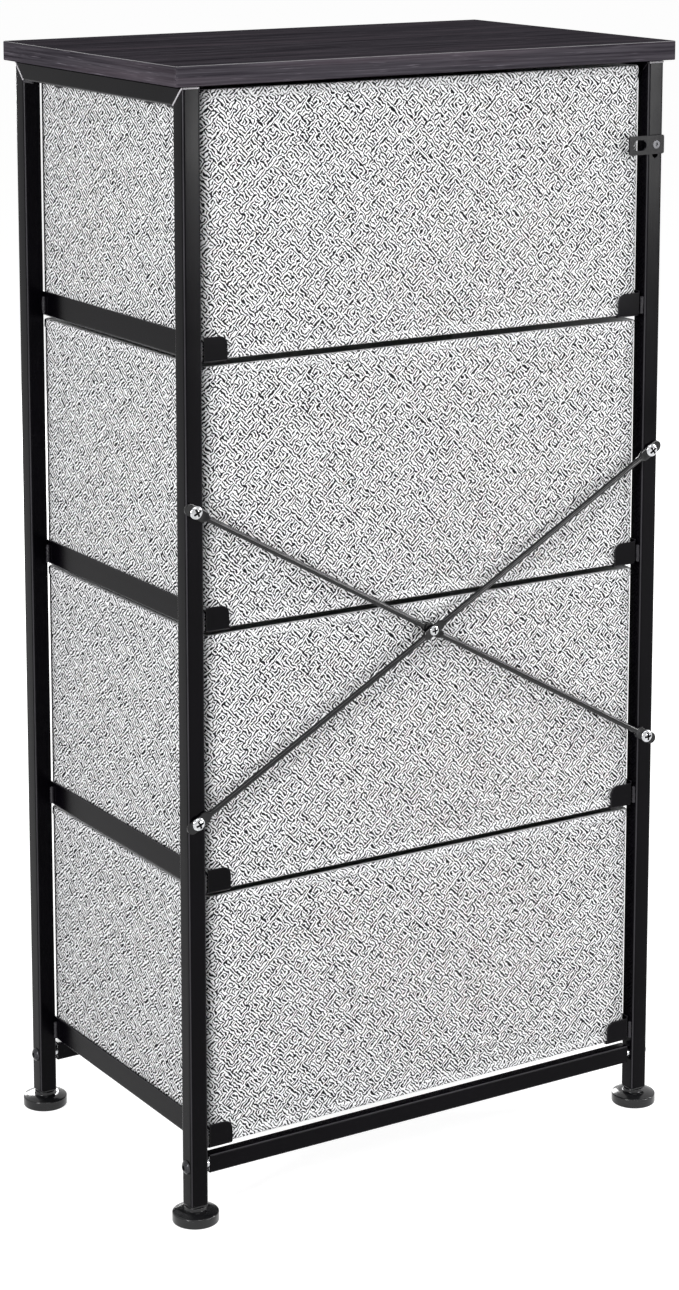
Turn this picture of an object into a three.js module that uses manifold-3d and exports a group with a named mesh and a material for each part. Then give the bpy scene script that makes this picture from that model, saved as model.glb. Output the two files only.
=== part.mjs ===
// A narrow chest of four fabric drawers in a black steel frame with a wood-grain top board.
// Millimetres, +Z up, front towards -Y. The origin is on the floor under the middle of the chest.
// Left and right are as seen from the front, so the right side is at +X.

import * as THREE from 'three';
import { mergeVertices } from 'three/addons/utils/BufferGeometryUtils.js';
import Module from 'manifold-3d';

const wasm = await Module();
wasm.setup();

// Clearances shared by all pieces
const seat = 0.3;
const running = 0.1;
const overrun = 2;

// Top board
const boardWidth = 450;
const boardDepth = 280;
const boardThickness = 15;
const boardCornerRadius = 2;
const boardEdgeEase = 0.6;
const boardOverhangSide = 8;
const boardOverhangEnd = 5;

// Square tube of the side frames
const tubeSize = 15;
const tubeWall = 1.2;
const tubeRound = 2.2;
const weldGap = 0.3;

// Drawers, which also set how tall the chest is
const drawerCount = 4;
const drawerHeight = 198.3;
const drawerGap = 4.7;
const drawerTopGap = 3.4;
const drawerSideGap = 1.2;
const drawerRearGap = 0.5;
const drawerFrontRecess = 4;
const drawerWall = 4;
const drawerFloor = 3;
const drawerCornerRadius = 6;
const hemHeight = 7;
const hemProud = 0.7;

// Stiff board lying in each drawer
const baseBoardThickness = 3;
const baseBoardGap = 1.2;

// Sewn pull strap on each drawer front
const strapLength = 120;
const strapWidth = 24;
const strapThickness = 1.6;
const strapSewnLength = 16;
const strapRise = 26;
const strapReach = 10;
const strapDrop = 88;

// Folded angle rails that carry the drawers
const railShelfHeight = 57.7;
const railSheet = 1.2;
const railHeight = 20;
const railShelf = 23;
const railBend = 2.4;
const railFrontRecess = 2;
const tabRecess = 3.5;
const tabWidth = 20;
const tabHeight = 19;
const tabRound = 6.5;

// Cross rails near the floor, their threaded end plugs and their bolts
const crossRailUnderside = 37;
const crossRailTall = 15;
const crossRailDeep = 10;
const crossRailWall = 1.2;
const crossRailRound = 1.8;
const collarLength = 2.4;
const collarDiameter = 9.4;
const endPlugLength = 14;
const boltDiameter = 6;
const boltHeadDiameter = 11;
const boltHeadHeight = 3.2;
const boltLength = 28;
const boltSocket = 4;
const boltSocketDepth = 1.8;

// Flat-eyed rods that cross behind the drawers, and their screws. The low screws sit this far
// above the shelves of the second drawer.
const braceLift = 57.8;
const braceRise = 238;
const rodDiameter = 4.6;
const rodFlatThickness = 1.8;
const rodFlatWidth = 9.4;
const rodEyeLength = 8;
const rodEyeReach = 10;
const rodTaper = 5;
const rodMiddleFlat = 13;
const rodMiddleWidth = 8;
const panScrewDiameter = 4.8;
const panScrewLength = 14;
const panHeadDiameter = 10.6;
const panHeadHeight = 2.5;
const panCrossWidth = 1.5;
const panCrossLength = 5.6;
const panCrossDepth = 1.3;
const middleScrewDiameter = 4;
const middleScrewLength = 6.4;
const middleHeadDiameter = 8;
const middleHeadHeight = 1.5;
const middleCrossWidth = 1.1;
const middleCrossLength = 4;
const middleCrossDepth = 0.8;
const nutAcrossFlats = 7;
const nutThickness = 2.2;

// Wall-anchor plate on the left rear post
const plateDrop = 66;
const plateLength = 34;
const plateTall = 15;
const plateThickness = 1.5;
const plateRound = 1.5;
const plateSlotLength = 12.6;
const plateSlotTall = 8.4;
const plateSlotInset = 10.4;
const plateScrewDiameter = 4;
const plateScrewLength = 8;
const plateHeadDiameter = 7;
const plateHeadDepth = 1.2;
const plateSocket = 2.5;
const plateSocketDepth = 0.8;
const spareHoleDiameter = 5.6;
const spareHoleDrop = 74.2;

// Screws driven up through the top rails into the board
const boardScrewDiameter = 4;
const boardHeadDiameter = 8.4;
const boardHeadHeight = 2.4;
const boardScrewBite = 10;
const boardScrewInset = 62;
const boardCrossWidth = 1.2;
const boardCrossLength = 4.4;
const boardCrossDepth = 1.1;

// Levelling feet and the plugs that close the posts
const footDiameter = 36;
const footRimHeight = 8;
const footEdgeRound = 1.1;
const footDomeHeight = 1.8;
const footNeckDiameter = 17;
const footNeckHeight = 2.7;
const footStemDiameter = 6;
const footStemLength = 20;
const plugFlange = 1.2;
const plugLength = 16;

// How finely round forms are drawn
const cornerSteps = 3;
const drawerCornerSteps = 5;
const strapSteps = 8;
const boltSteps = 12;
const footSteps = 20;
const footEdgeSteps = 2;
const domeSteps = 3;
const rodSteps = 8;
const rodEyeSteps = 4;
const rodTaperSteps = 3;
const rodBowSteps = 4;

// Proportions of small forms
const screwTipShare = 0.6;
const headRimShare = 0.35;
const domeEdgeShare = 0.82;
const rodSquareShare = 0.75;

// Places that follow from the sizes above
const frameWidth = boardWidth - 2 * boardOverhangSide;
const frameDepth = boardDepth - 2 * boardOverhangEnd;
const postX = (frameWidth - tubeSize) / 2;
const postY = (frameDepth - tubeSize) / 2;
const postBack = frameDepth / 2;
const innerHalf = frameWidth / 2 - tubeSize;
const footHeight = footRimHeight + footDomeHeight + footNeckHeight;
const postBottom = footHeight + seat + plugFlange + seat;
const drawerPitch = drawerHeight + drawerGap;
const lowestDrawer = railShelfHeight + seat;
const frameTop = lowestDrawer + drawerCount * drawerPitch - drawerGap + drawerTopGap;
const boardUnderside = frameTop + seat;
const topRailUnderside = frameTop - tubeSize;
const railOuterHalf = innerHalf - seat;
const tabBack = postBack - tabRecess;
const drawerWidth = 2 * (railOuterHalf - railSheet - drawerSideGap);
const drawerBack = tabBack - railSheet - drawerRearGap;
const drawerFront = drawerFrontRecess - frameDepth / 2;
const drawerDepth = drawerBack - drawerFront;
const crossRailHeight = crossRailUnderside + crossRailTall / 2;
const crossRailEnd = innerHalf - seat - collarLength - seat;
const plateHeight = frameTop - plateDrop;
const braceLowHeight = railShelfHeight + drawerPitch + braceLift;

const sides = [{ name: 'left', sign: -1 }, { name: 'right', sign: 1 }];
const ends = [{ name: 'front', sign: -1 }, { name: 'rear', sign: 1 }];

// Finishes
const finishes = {
  board: { color: 0x343136, roughness: 0.55, metalness: 0 },
  frame: { color: 0x1b1b1e, roughness: 0.42, metalness: 0.3 },
  rod: { color: 0x0f0f11, roughness: 0.2, metalness: 0.4 },
  screw: { color: 0xb9bcc0, roughness: 0.22, metalness: 1 },
  bolt: { color: 0x141416, roughness: 0.3, metalness: 0.6 },
  plastic: { color: 0x0d0d0f, roughness: 0.18, metalness: 0 },
  fabric: { color: 0xb4b4b6, roughness: 0.95, metalness: 0 },
  strap: { color: 0x9c9c9f, roughness: 0.95, metalness: 0 },
  panel: { color: 0x6f6f72, roughness: 0.85, metalness: 0 },
};

// A closed mesh as a solid that can be joined and cut, and back again
function toSolid(geometry) {
  const plain = geometry.clone();
  plain.deleteAttribute('normal');
  plain.deleteAttribute('uv');
  const merged = mergeVertices(plain, seat / 1000);
  return new wasm.Manifold(new wasm.Mesh({
    numProp: 3,
    vertProperties: new Float32Array(merged.attributes.position.array),
    triVerts: new Uint32Array(merged.index.array),
  }));
}

function toGeometry(solid) {
  const mesh = solid.getMesh();
  const geometry = new THREE.BufferGeometry();
  geometry.setAttribute('position', new THREE.BufferAttribute(mesh.vertProperties, 3));
  geometry.setIndex(new THREE.BufferAttribute(mesh.triVerts, 1));
  geometry.computeVertexNormals();
  return geometry;
}

function cut(geometry, tools) {
  const whole = toSolid(geometry);
  return toGeometry(tools.reduce((solid, tool) => solid.subtract(toSolid(tool)), whole));
}

function join(geometries) {
  return toGeometry(geometries.map(toSolid).reduce((whole, next) => whole.add(next)));
}

// Outlines are lists of [x, y]. An arc runs from one angle to another, given in quarter turns.
function arc(x, y, radius, fromQuarter, toQuarter, steps = cornerSteps) {
  const points = [];
  for (let i = 0; i <= steps; i += 1) {
    const angle = (fromQuarter + ((toQuarter - fromQuarter) * i) / steps) * (Math.PI / 2);
    points.push([x + radius * Math.cos(angle), y + radius * Math.sin(angle)]);
  }
  return points;
}

function roundedRectangle(width, height, radius, steps = cornerSteps) {
  const x = width / 2 - radius;
  const y = height / 2 - radius;
  return [
    ...arc(x, y, radius, 0, 1, steps),
    ...arc(-x, y, radius, 1, 2, steps),
    ...arc(-x, -y, radius, 2, 3, steps),
    ...arc(x, -y, radius, 3, 4, steps),
  ];
}

function toVectors(outline) {
  return outline.map(([x, y]) => new THREE.Vector2(x, y));
}

function extrude(outline, depth, hole) {
  const shape = new THREE.Shape(toVectors(outline));
  if (hole) {
    shape.holes.push(new THREE.Path(toVectors(hole)));
  }
  return new THREE.ExtrudeGeometry(shape, { depth, bevelEnabled: false });
}

// A round bar standing on z = 0
function bar(diameter, length, steps = boltSteps) {
  const geometry = new THREE.CylinderGeometry(diameter / 2, diameter / 2, length, steps);
  geometry.rotateX(Math.PI / 2);
  geometry.translate(0, 0, length / 2);
  return geometry;
}

// Round cutters that lie along X or Y, centred on the given place
function cutterAlongX(diameter, length, x, y, z) {
  const geometry = bar(diameter, length);
  geometry.translate(0, 0, -length / 2);
  geometry.rotateY(Math.PI / 2);
  geometry.translate(x, y, z);
  return geometry;
}

function cutterAlongY(diameter, length, x, y, z) {
  const geometry = bar(diameter, length);
  geometry.translate(0, 0, -length / 2);
  geometry.rotateX(Math.PI / 2);
  geometry.translate(x, y, z);
  return geometry;
}

// Hollow tube along z. An end is square, or leans along y by its slope to make a mitre.
function tube({ width, height, wall, round, length, startSlope = 0, endSlope = 0 }) {
  const outside = roundedRectangle(width, height, round);
  const inside = roundedRectangle(width - 2 * wall, height - 2 * wall, round - wall);
  const geometry = extrude(outside, length, inside);
  const position = geometry.attributes.position;
  for (let i = 0; i < position.count; i += 1) {
    const slope = position.getZ(i) > length / 2 ? endSlope : startSlope;
    position.setZ(i, position.getZ(i) + slope * position.getY(i));
  }
  return geometry;
}

// A turned piece: its outline is [radius, height] pairs from the axis below to the axis above
function revolve(points, steps) {
  const geometry = new THREE.LatheGeometry(toVectors(points), steps);
  geometry.rotateX(Math.PI / 2);
  return geometry;
}

// A screw or bolt whose domed head sits on z = 0 and whose shank hangs below
function headedScrew({ diameter, length, headDiameter, headHeight }) {
  const radius = diameter / 2;
  const rim = headHeight * headRimShare;
  const points = [[0, -length], [radius * screwTipShare, -length], [radius, radius - length]];
  points.push([radius, 0], [headDiameter / 2, 0]);
  for (let i = 0; i < domeSteps; i += 1) {
    const angle = (i / domeSteps) * (Math.PI / 2);
    points.push([(headDiameter / 2) * Math.cos(angle), rim + (headHeight - rim) * Math.sin(angle)]);
  }
  points.push([0, headHeight]);
  return revolve(points, boltSteps);
}

function crossCutters(width, length, depth, headHeight) {
  const tall = depth + overrun;
  const cutters = [new THREE.BoxGeometry(length, width, tall), new THREE.BoxGeometry(width, length, tall)];
  for (const cutter of cutters) {
    cutter.translate(0, 0, headHeight - depth + tall / 2);
  }
  return cutters;
}

function hexPrism(acrossFlats, tall) {
  const radius = acrossFlats / Math.sqrt(3);
  const geometry = new THREE.CylinderGeometry(radius, radius, tall, 6);
  geometry.rotateX(Math.PI / 2);
  return geometry;
}

function hexCutter(acrossFlats, depth, headHeight) {
  const tall = depth + overrun;
  const cutter = hexPrism(acrossFlats, tall);
  cutter.translate(0, 0, headHeight - depth + tall / 2);
  return cutter;
}

function piece(name, finish, geometry, x = 0, y = 0, z = 0) {
  const made = new THREE.Mesh(geometry, new THREE.MeshStandardMaterial(finishes[finish]));
  made.name = name;
  made.position.set(x, y, z);
  return made;
}

const chest = new THREE.Group();

// Top board: a laminated panel with eased edges and blind pilot holes for its four screws
function topBoard() {
  const ease = boardEdgeEase;
  const outline = roundedRectangle(
    boardWidth - 2 * ease,
    boardDepth - 2 * ease,
    boardCornerRadius - ease,
  );
  const panel = new THREE.ExtrudeGeometry(new THREE.Shape(toVectors(outline)), {
    depth: boardThickness - 2 * ease,
    bevelThickness: ease,
    bevelSize: ease,
    bevelSegments: 1,
  });
  panel.translate(0, 0, ease);
  const pilots = [];
  for (const side of sides) {
    for (const end of ends) {
      const pilot = bar(boardScrewDiameter + 2 * running, boardScrewBite + seat + overrun);
      pilot.translate(side.sign * postX, end.sign * (frameDepth / 2 - boardScrewInset), -overrun);
      pilots.push(pilot);
    }
  }
  return cut(panel, pilots);
}

chest.add(piece('top_board', 'board', topBoard(), 0, 0, boardUnderside));

// Posts: square tube mitred at the top and open below, drilled for the bolts of the cross rails
function post(end, side) {
  const geometry = tube({
    width: tubeSize,
    height: tubeSize,
    wall: tubeWall,
    round: tubeRound,
    length: frameTop - postBottom - tubeSize / 2 - weldGap / Math.SQRT2,
    endSlope: end.sign,
  });
  const boltHole = boltDiameter + 2 * seat;
  const holes = [cutterAlongX(boltHole, tubeSize + 2 * overrun, 0, 0, crossRailHeight - postBottom)];
  if (end.name === 'rear') {
    const wallHole = (diameter, height) => (
      cutterAlongY(diameter, tubeWall + 2 * running + overrun, 0, (tubeSize + overrun) / 2 - tubeWall / 2,
        height - postBottom)
    );
    const screwHole = panScrewDiameter + 2 * running;
    holes.push(wallHole(screwHole, braceLowHeight), wallHole(screwHole, braceLowHeight + braceRise));
    if (side.name === 'left') {
      holes.push(wallHole(plateScrewDiameter + 2 * running, plateHeight));
      holes.push(wallHole(spareHoleDiameter, frameTop - spareHoleDrop));
    }
  }
  return cut(geometry, holes);
}

// Top rail: the same tube lying from front to back, mitred at both ends
function topRail() {
  const length = frameDepth - tubeSize - weldGap * Math.SQRT2;
  const geometry = tube({
    width: tubeSize,
    height: tubeSize,
    wall: tubeWall,
    round: tubeRound,
    length,
    startSlope: 1,
    endSlope: -1,
  });
  geometry.translate(0, 0, -length / 2);
  const screwHole = boardScrewDiameter + 2 * seat;
  return cut(geometry, ends.map((end) => (
    cutterAlongY(screwHole, tubeSize + 2 * overrun, 0, 0, end.sign * (frameDepth / 2 - boardScrewInset))
  )));
}

// Angle rail: sheet folded to an L. Behind, the shelf turns up into a stop tab with a round corner.
// It is drawn with its outer face at x = 0, its underside at z = 0 and the tab's back at y = 0.
function angleRail(side) {
  const inward = ([x, z]) => [-side.sign * x, z];
  const bendInside = railBend - railSheet;
  const section = [
    [0, railHeight],
    ...arc(railBend, railBend, railBend, 2, 3),
    [railShelf, 0],
    [railShelf, railSheet],
    ...arc(railBend, railBend, bendInside, 3, 2),
    [railSheet, railHeight],
  ];
  const angle = extrude(section.map(inward), tabBack + frameDepth / 2 - railFrontRecess - railBend);
  angle.rotateX(Math.PI / 2);
  angle.translate(0, -railBend, 0);

  const turnUp = [
    [-2 * railBend, 0],
    ...arc(-railBend, railBend, railBend, 3, 4),
    [0, tabHeight],
    [-railSheet, tabHeight],
    ...arc(-railBend, railBend, bendInside, 4, 3),
    [-2 * railBend, railSheet],
  ];
  const strip = extrude(turnUp, tabWidth);
  strip.rotateX(Math.PI / 2);
  strip.rotateZ(Math.PI / 2);
  strip.translate(side.sign > 0 ? -railShelf : railShelf - tabWidth, 0, 0);

  const face = [
    [railShelf - tabWidth - overrun, -overrun],
    [railShelf, -overrun],
    ...arc(railShelf - tabRound, tabHeight - tabRound, tabRound, 0, 1, drawerCornerSteps),
    [railShelf - tabWidth - overrun, tabHeight],
  ];
  const trim = extrude(face.map(inward), 2 * railBend + 2 * overrun);
  trim.rotateX(Math.PI / 2);
  trim.translate(0, overrun, 0);
  const tab = toGeometry(toSolid(strip).intersect(toSolid(trim)));
  return join([angle, tab]);
}

for (const side of sides) {
  const frame = new THREE.Group();
  frame.position.x = side.sign * postX;
  for (const end of ends) {
    const name = `${end.name}_post_${side.name}`;
    frame.add(piece(name, 'frame', post(end, side), 0, end.sign * postY, postBottom));
  }
  const rail = piece(`top_rail_${side.name}`, 'frame', topRail(), 0, 0, topRailUnderside + tubeSize / 2);
  rail.rotation.x = -Math.PI / 2;
  frame.add(rail);
  chest.add(frame);
  for (let level = 0; level < drawerCount; level += 1) {
    const name = `angle_rail_${side.name}_${level + 1}`;
    const underside = railShelfHeight - railSheet + level * drawerPitch;
    chest.add(piece(name, 'frame', angleRail(side), side.sign * railOuterHalf, tabBack, underside));
  }
}

// Cross rails: flat tube between the side frames, near the floor
function crossRail() {
  const geometry = tube({
    width: crossRailTall,
    height: crossRailDeep,
    wall: crossRailWall,
    round: crossRailRound,
    length: 2 * crossRailEnd,
  });
  geometry.translate(0, 0, -crossRailEnd);
  geometry.rotateY(Math.PI / 2);
  return geometry;
}

// End plug: a threaded block inside the cross rail with a round collar that meets the post.
// The collar's inner face is at x = 0 and the block runs towards -x.
function endPlug() {
  const inside = 2 * (crossRailWall + seat);
  const block = extrude(
    roundedRectangle(crossRailTall - inside, crossRailDeep - inside, crossRailRound - crossRailWall),
    endPlugLength,
  );
  block.translate(0, 0, -endPlugLength);
  const collar = bar(collarDiameter, collarLength);
  const thread = bar(boltDiameter + 2 * running, endPlugLength + collarLength + 2 * overrun);
  thread.translate(0, 0, -endPlugLength - overrun);
  const geometry = cut(join([block, collar]), [thread]);
  geometry.rotateY(Math.PI / 2);
  return geometry;
}

function railBolt() {
  const bolt = headedScrew({
    diameter: boltDiameter,
    length: boltLength,
    headDiameter: boltHeadDiameter,
    headHeight: boltHeadHeight,
  });
  const geometry = cut(bolt, [hexCutter(boltSocket, boltSocketDepth, boltHeadHeight)]);
  geometry.rotateY(Math.PI / 2);
  return geometry;
}

for (const end of ends) {
  const y = end.sign * postY;
  chest.add(piece(`${end.name}_cross_rail`, 'frame', crossRail(), 0, y, crossRailHeight));
  for (const side of sides) {
    const turn = side.sign > 0 ? 0 : Math.PI;
    const plug = piece(`end_plug_${end.name}_${side.name}`, 'screw', endPlug());
    plug.position.set(side.sign * (crossRailEnd + seat), y, crossRailHeight);
    plug.rotation.z = turn;
    const bolt = piece(`rail_bolt_${end.name}_${side.name}`, 'bolt', railBolt());
    bolt.position.set(side.sign * (frameWidth / 2 + seat), y, crossRailHeight);
    bolt.rotation.z = turn;
    chest.add(plug, bolt);
  }
}

// Brace rods: round bar pressed flat into an eye at each end and into a drilled flat in the middle.
// An eye's hole is set back from its round tip, which reaches past the post. A rod is drawn along
// x, its flats facing y, and bows by half a flat's thickness to pass its twin.
const braceSpan = 2 * postX;
const rodHalf = Math.hypot(braceSpan, braceRise) / 2;
const braceAngle = Math.atan2(braceRise, braceSpan);
const rodBow = (rodFlatThickness + seat) / 2;

// Stations along one half of the rod: [distance from the middle, width, how flat from 0 to 1]
function rodStations() {
  const stations = [[0, rodMiddleWidth, 1]];
  const ease = (share) => share * share * (3 - 2 * share);
  const between = (share, wide) => rodDiameter + (wide - rodDiameter) * ease(share);
  const middleEnd = rodMiddleFlat / 2;
  const eyeStart = rodHalf - rodEyeLength;
  const barStart = middleEnd + rodTaper;
  const barEnd = eyeStart - rodTaper;
  for (let i = 0; i <= rodTaperSteps; i += 1) {
    const share = 1 - i / rodTaperSteps;
    stations.push([middleEnd + rodTaper * (1 - share), between(share, rodMiddleWidth), ease(share)]);
  }
  for (let i = 1; i < rodBowSteps; i += 1) {
    stations.push([barStart + ((barEnd - barStart) * i) / rodBowSteps, rodDiameter, 0]);
  }
  for (let i = 0; i <= rodTaperSteps; i += 1) {
    const share = i / rodTaperSteps;
    stations.push([barEnd + rodTaper * share, between(share, rodFlatWidth), ease(share)]);
  }
  const tipStart = rodHalf + rodEyeReach - rodFlatWidth / 2;
  for (let i = 0; i < rodEyeSteps; i += 1) {
    const angle = (i / rodEyeSteps) * (Math.PI / 2);
    const reach = (rodFlatWidth / 2) * Math.sin(angle);
    stations.push([tipStart + reach, rodFlatWidth * Math.cos(angle), 1]);
  }
  return stations;
}

// One ring of the rod: a circle when round, close to a rectangle when pressed flat
function rodRing(x, width, flat, bow) {
  const thick = rodDiameter + (rodFlatThickness - rodDiameter) * flat;
  const power = 1 - rodSquareShare * flat;
  const middle = bow * Math.cos((Math.PI / 2) * (Math.min(Math.abs(x), rodHalf) / rodHalf)) ** 2;
  const ring = [];
  for (let i = 0; i < rodSteps; i += 1) {
    const angle = ((i + 1 / 2) / rodSteps) * 2 * Math.PI;
    const c = Math.cos(angle);
    const s = Math.sin(angle);
    ring.push([
      x,
      middle + (thick / 2) * Math.sign(s) * Math.abs(s) ** power,
      (width / 2) * Math.sign(c) * Math.abs(c) ** power,
    ]);
  }
  return ring;
}

// Skin over a row of rings, closed by a flat cap at each end
function loft(rings) {
  const count = rings[0].length;
  const points = rings.flat();
  const faces = [];
  for (let r = 0; r + 1 < rings.length; r += 1) {
    for (let i = 0; i < count; i += 1) {
      const next = (i + 1) % count;
      const a = r * count + i;
      const b = r * count + next;
      const c = (r + 1) * count + next;
      const d = (r + 1) * count + i;
      faces.push(a, c, b, a, d, c);
    }
  }
  const last = (rings.length - 1) * count;
  for (let i = 1; i + 1 < count; i += 1) {
    faces.push(0, i, i + 1, last, last + i + 1, last + i);
  }
  const geometry = new THREE.BufferGeometry();
  geometry.setAttribute('position', new THREE.Float32BufferAttribute(points.flat(), 3));
  geometry.setIndex(faces);
  return geometry;
}

function braceRod(bow) {
  const half = rodStations();
  const mirrored = half.slice(1).reverse().map(([x, width, flat]) => [-x, width, flat]);
  const rings = [...mirrored, ...half].map(([x, width, flat]) => rodRing(x, width, flat, bow));
  const eyeHole = panScrewDiameter + 2 * seat;
  const middleHole = middleScrewDiameter + 2 * seat;
  const across = rodDiameter + 2 * overrun;
  return cut(loft(rings), [
    cutterAlongY(eyeHole, across, -rodHalf, 0, 0),
    cutterAlongY(eyeHole, across, rodHalf, 0, 0),
    cutterAlongY(middleHole, across, 0, 0, 0),
  ]);
}

const rodPlane = postBack + seat + rodFlatThickness / 2;
const braceMiddle = braceLowHeight + braceRise / 2;
const innerRod = piece('brace_rod_inner', 'rod', braceRod(-rodBow), 0, rodPlane, braceMiddle);
innerRod.rotation.y = -braceAngle;
const outerRod = piece('brace_rod_outer', 'rod', braceRod(rodBow), 0, rodPlane, braceMiddle);
outerRod.rotation.y = braceAngle;
chest.add(innerRod, outerRod);

function crossScrew(sizes, cross) {
  const cutters = crossCutters(cross.width, cross.length, cross.depth, sizes.headHeight);
  return cut(headedScrew(sizes), cutters);
}

function braceScrew() {
  const geometry = crossScrew(
    {
      diameter: panScrewDiameter,
      length: panScrewLength,
      headDiameter: panHeadDiameter,
      headHeight: panHeadHeight,
    },
    { width: panCrossWidth, length: panCrossLength, depth: panCrossDepth },
  );
  geometry.rotateX(-Math.PI / 2);
  return geometry;
}

const braceScrewSeat = rodPlane + rodFlatThickness / 2 + seat;
for (const side of sides) {
  for (const level of [{ name: 'low', z: braceLowHeight }, { name: 'high', z: braceLowHeight + braceRise }]) {
    const name = `brace_screw_${side.name}_${level.name}`;
    chest.add(piece(name, 'screw', braceScrew(), side.sign * postX, braceScrewSeat, level.z));
  }
}

function middleScrew() {
  const geometry = crossScrew(
    {
      diameter: middleScrewDiameter,
      length: middleScrewLength,
      headDiameter: middleHeadDiameter,
      headHeight: middleHeadHeight,
    },
    { width: middleCrossWidth, length: middleCrossLength, depth: middleCrossDepth },
  );
  geometry.rotateX(-Math.PI / 2);
  return geometry;
}

function middleNut() {
  const bore = bar(middleScrewDiameter + 2 * running, nutThickness + 2 * overrun);
  bore.translate(0, 0, -nutThickness / 2 - overrun);
  const geometry = cut(hexPrism(nutAcrossFlats, nutThickness), [bore]);
  geometry.rotateX(Math.PI / 2);
  return geometry;
}

const flatHalf = rodFlatThickness / 2;
const middleScrewSeat = rodPlane + rodBow + flatHalf + seat;
const nutPlane = rodPlane - rodBow - flatHalf - seat - nutThickness / 2;
chest.add(piece('brace_middle_screw', 'screw', middleScrew(), 0, middleScrewSeat, braceMiddle));
chest.add(piece('brace_middle_nut', 'screw', middleNut(), 0, nutPlane, braceMiddle));

// Wall-anchor plate: a flat strip on the post, held by a countersunk screw that leaves its face
// free, with an oval slot for a strap beside it.
// Its outer end is at x = 0 and it runs towards +x.
function anchorPlate() {
  const outline = roundedRectangle(plateLength, plateTall, plateRound);
  const slotRadius = plateSlotTall / 2;
  const slot = roundedRectangle(plateSlotLength, plateSlotTall, slotRadius, 2 * cornerSteps);
  const slotMiddle = plateLength / 2 - plateSlotInset;
  const plate = extrude(outline, plateThickness, slot.map(([x, z]) => [x + slotMiddle, z]));
  plate.rotateX(Math.PI / 2);
  plate.translate(plateLength / 2, plateThickness, 0);
  const countersink = flatHeadForm(seat, overrun);
  countersink.translate(tubeSize / 2, plateThickness, 0);
  return cut(plate, [countersink]);
}

// The flat-headed screw of the plate, its top in the plane y = 0. Grown all round and carried on
// above its top, the same form cuts the countersunk hole that the screw sits in.
function flatHeadForm(grow, above) {
  const shank = plateScrewDiameter / 2 + grow;
  const head = plateHeadDiameter / 2 + grow;
  const outline = [[0, -plateScrewLength], [shank, -plateScrewLength], [shank, -plateHeadDepth], [head, 0]];
  if (above > 0) {
    outline.push([head, above]);
  }
  outline.push([0, above]);
  const geometry = revolve(outline, boltSteps);
  geometry.rotateX(-Math.PI / 2);
  return geometry;
}

function plateScrew() {
  const socket = hexCutter(plateSocket, plateSocketDepth, 0);
  socket.rotateX(-Math.PI / 2);
  return cut(flatHeadForm(0, 0), [socket]);
}

const plateFront = postBack + seat;
chest.add(piece('wall_anchor_plate', 'frame', anchorPlate(), -frameWidth / 2, plateFront, plateHeight));
const plateScrewSeat = plateFront + plateThickness - running;
chest.add(piece('wall_anchor_screw', 'bolt', plateScrew(), -postX, plateScrewSeat, plateHeight));

// Board screws: heads under the top rails, shanks up into the pilot holes
function boardScrew() {
  const geometry = crossScrew(
    {
      diameter: boardScrewDiameter,
      length: seat + tubeSize + seat + boardScrewBite,
      headDiameter: boardHeadDiameter,
      headHeight: boardHeadHeight,
    },
    { width: boardCrossWidth, length: boardCrossLength, depth: boardCrossDepth },
  );
  geometry.rotateX(Math.PI);
  return geometry;
}

for (const side of sides) {
  for (const end of ends) {
    const screw = piece(`board_screw_${end.name}_${side.name}`, 'bolt', boardScrew());
    screw.position.x = side.sign * postX;
    screw.position.y = end.sign * (frameDepth / 2 - boardScrewInset);
    screw.position.z = topRailUnderside - seat;
    chest.add(screw);
  }
}

// Levelling foot: a round pad with a domed top, a neck, and a threaded stem up into the post
function foot() {
  const radius = footDiameter / 2;
  const neck = footNeckDiameter / 2;
  const domeTop = footRimHeight + footDomeHeight;
  return revolve([
    [0, 0],
    ...arc(radius - footEdgeRound, footEdgeRound, footEdgeRound, -1, 0, footEdgeSteps),
    ...arc(radius - footEdgeRound, footRimHeight - footEdgeRound, footEdgeRound, 0, 1, footEdgeSteps),
    [neck + (radius - neck) * (1 - domeEdgeShare), domeTop],
    [neck, domeTop],
    [neck, footHeight],
    [footStemDiameter / 2, footHeight],
    [footStemDiameter / 2, footHeight + footStemLength],
    [0, footHeight + footStemLength],
  ], footSteps);
}

// Post plug: fills the tube above a flange that caps it, with a threaded bore for the foot
function postPlug() {
  const inside = tubeSize - 2 * (tubeWall + seat);
  const flange = extrude(roundedRectangle(tubeSize, tubeSize, tubeRound), plugFlange);
  const block = extrude(roundedRectangle(inside, inside, tubeRound - tubeWall), plugFlange + plugLength);
  const thread = bar(footStemDiameter + 2 * running, plugFlange + plugLength + 2 * overrun);
  thread.translate(0, 0, -overrun);
  return cut(join([flange, block]), [thread]);
}

for (const side of sides) {
  for (const end of ends) {
    const place = [side.sign * postX, end.sign * postY];
    const plugHeight = footHeight + seat;
    chest.add(piece(`foot_${end.name}_${side.name}`, 'plastic', foot(), ...place, 0));
    chest.add(piece(`post_plug_${end.name}_${side.name}`, 'plastic', postPlug(), ...place, plugHeight));
  }
}

// Drawer box: one open-topped fabric shell with a sewn hem round its rim and round its foot
function drawerBox() {
  const width = drawerWidth - 2 * hemProud;
  const depth = drawerDepth - 2 * hemProud;
  const outline = (grow, radius) => (
    roundedRectangle(width + 2 * grow, depth + 2 * grow, radius, drawerCornerSteps)
  );
  const walls = extrude(outline(0, drawerCornerRadius), drawerHeight);
  const hem = outline(hemProud, drawerCornerRadius + hemProud);
  const lowHem = extrude(hem, hemHeight);
  const topHem = extrude(hem, hemHeight);
  topHem.translate(0, 0, drawerHeight - hemHeight);
  const hollow = extrude(outline(-drawerWall, drawerCornerRadius - drawerWall), drawerHeight);
  hollow.translate(0, 0, drawerFloor);
  return cut(join([walls, lowHem, topHem]), [hollow]);
}

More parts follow.
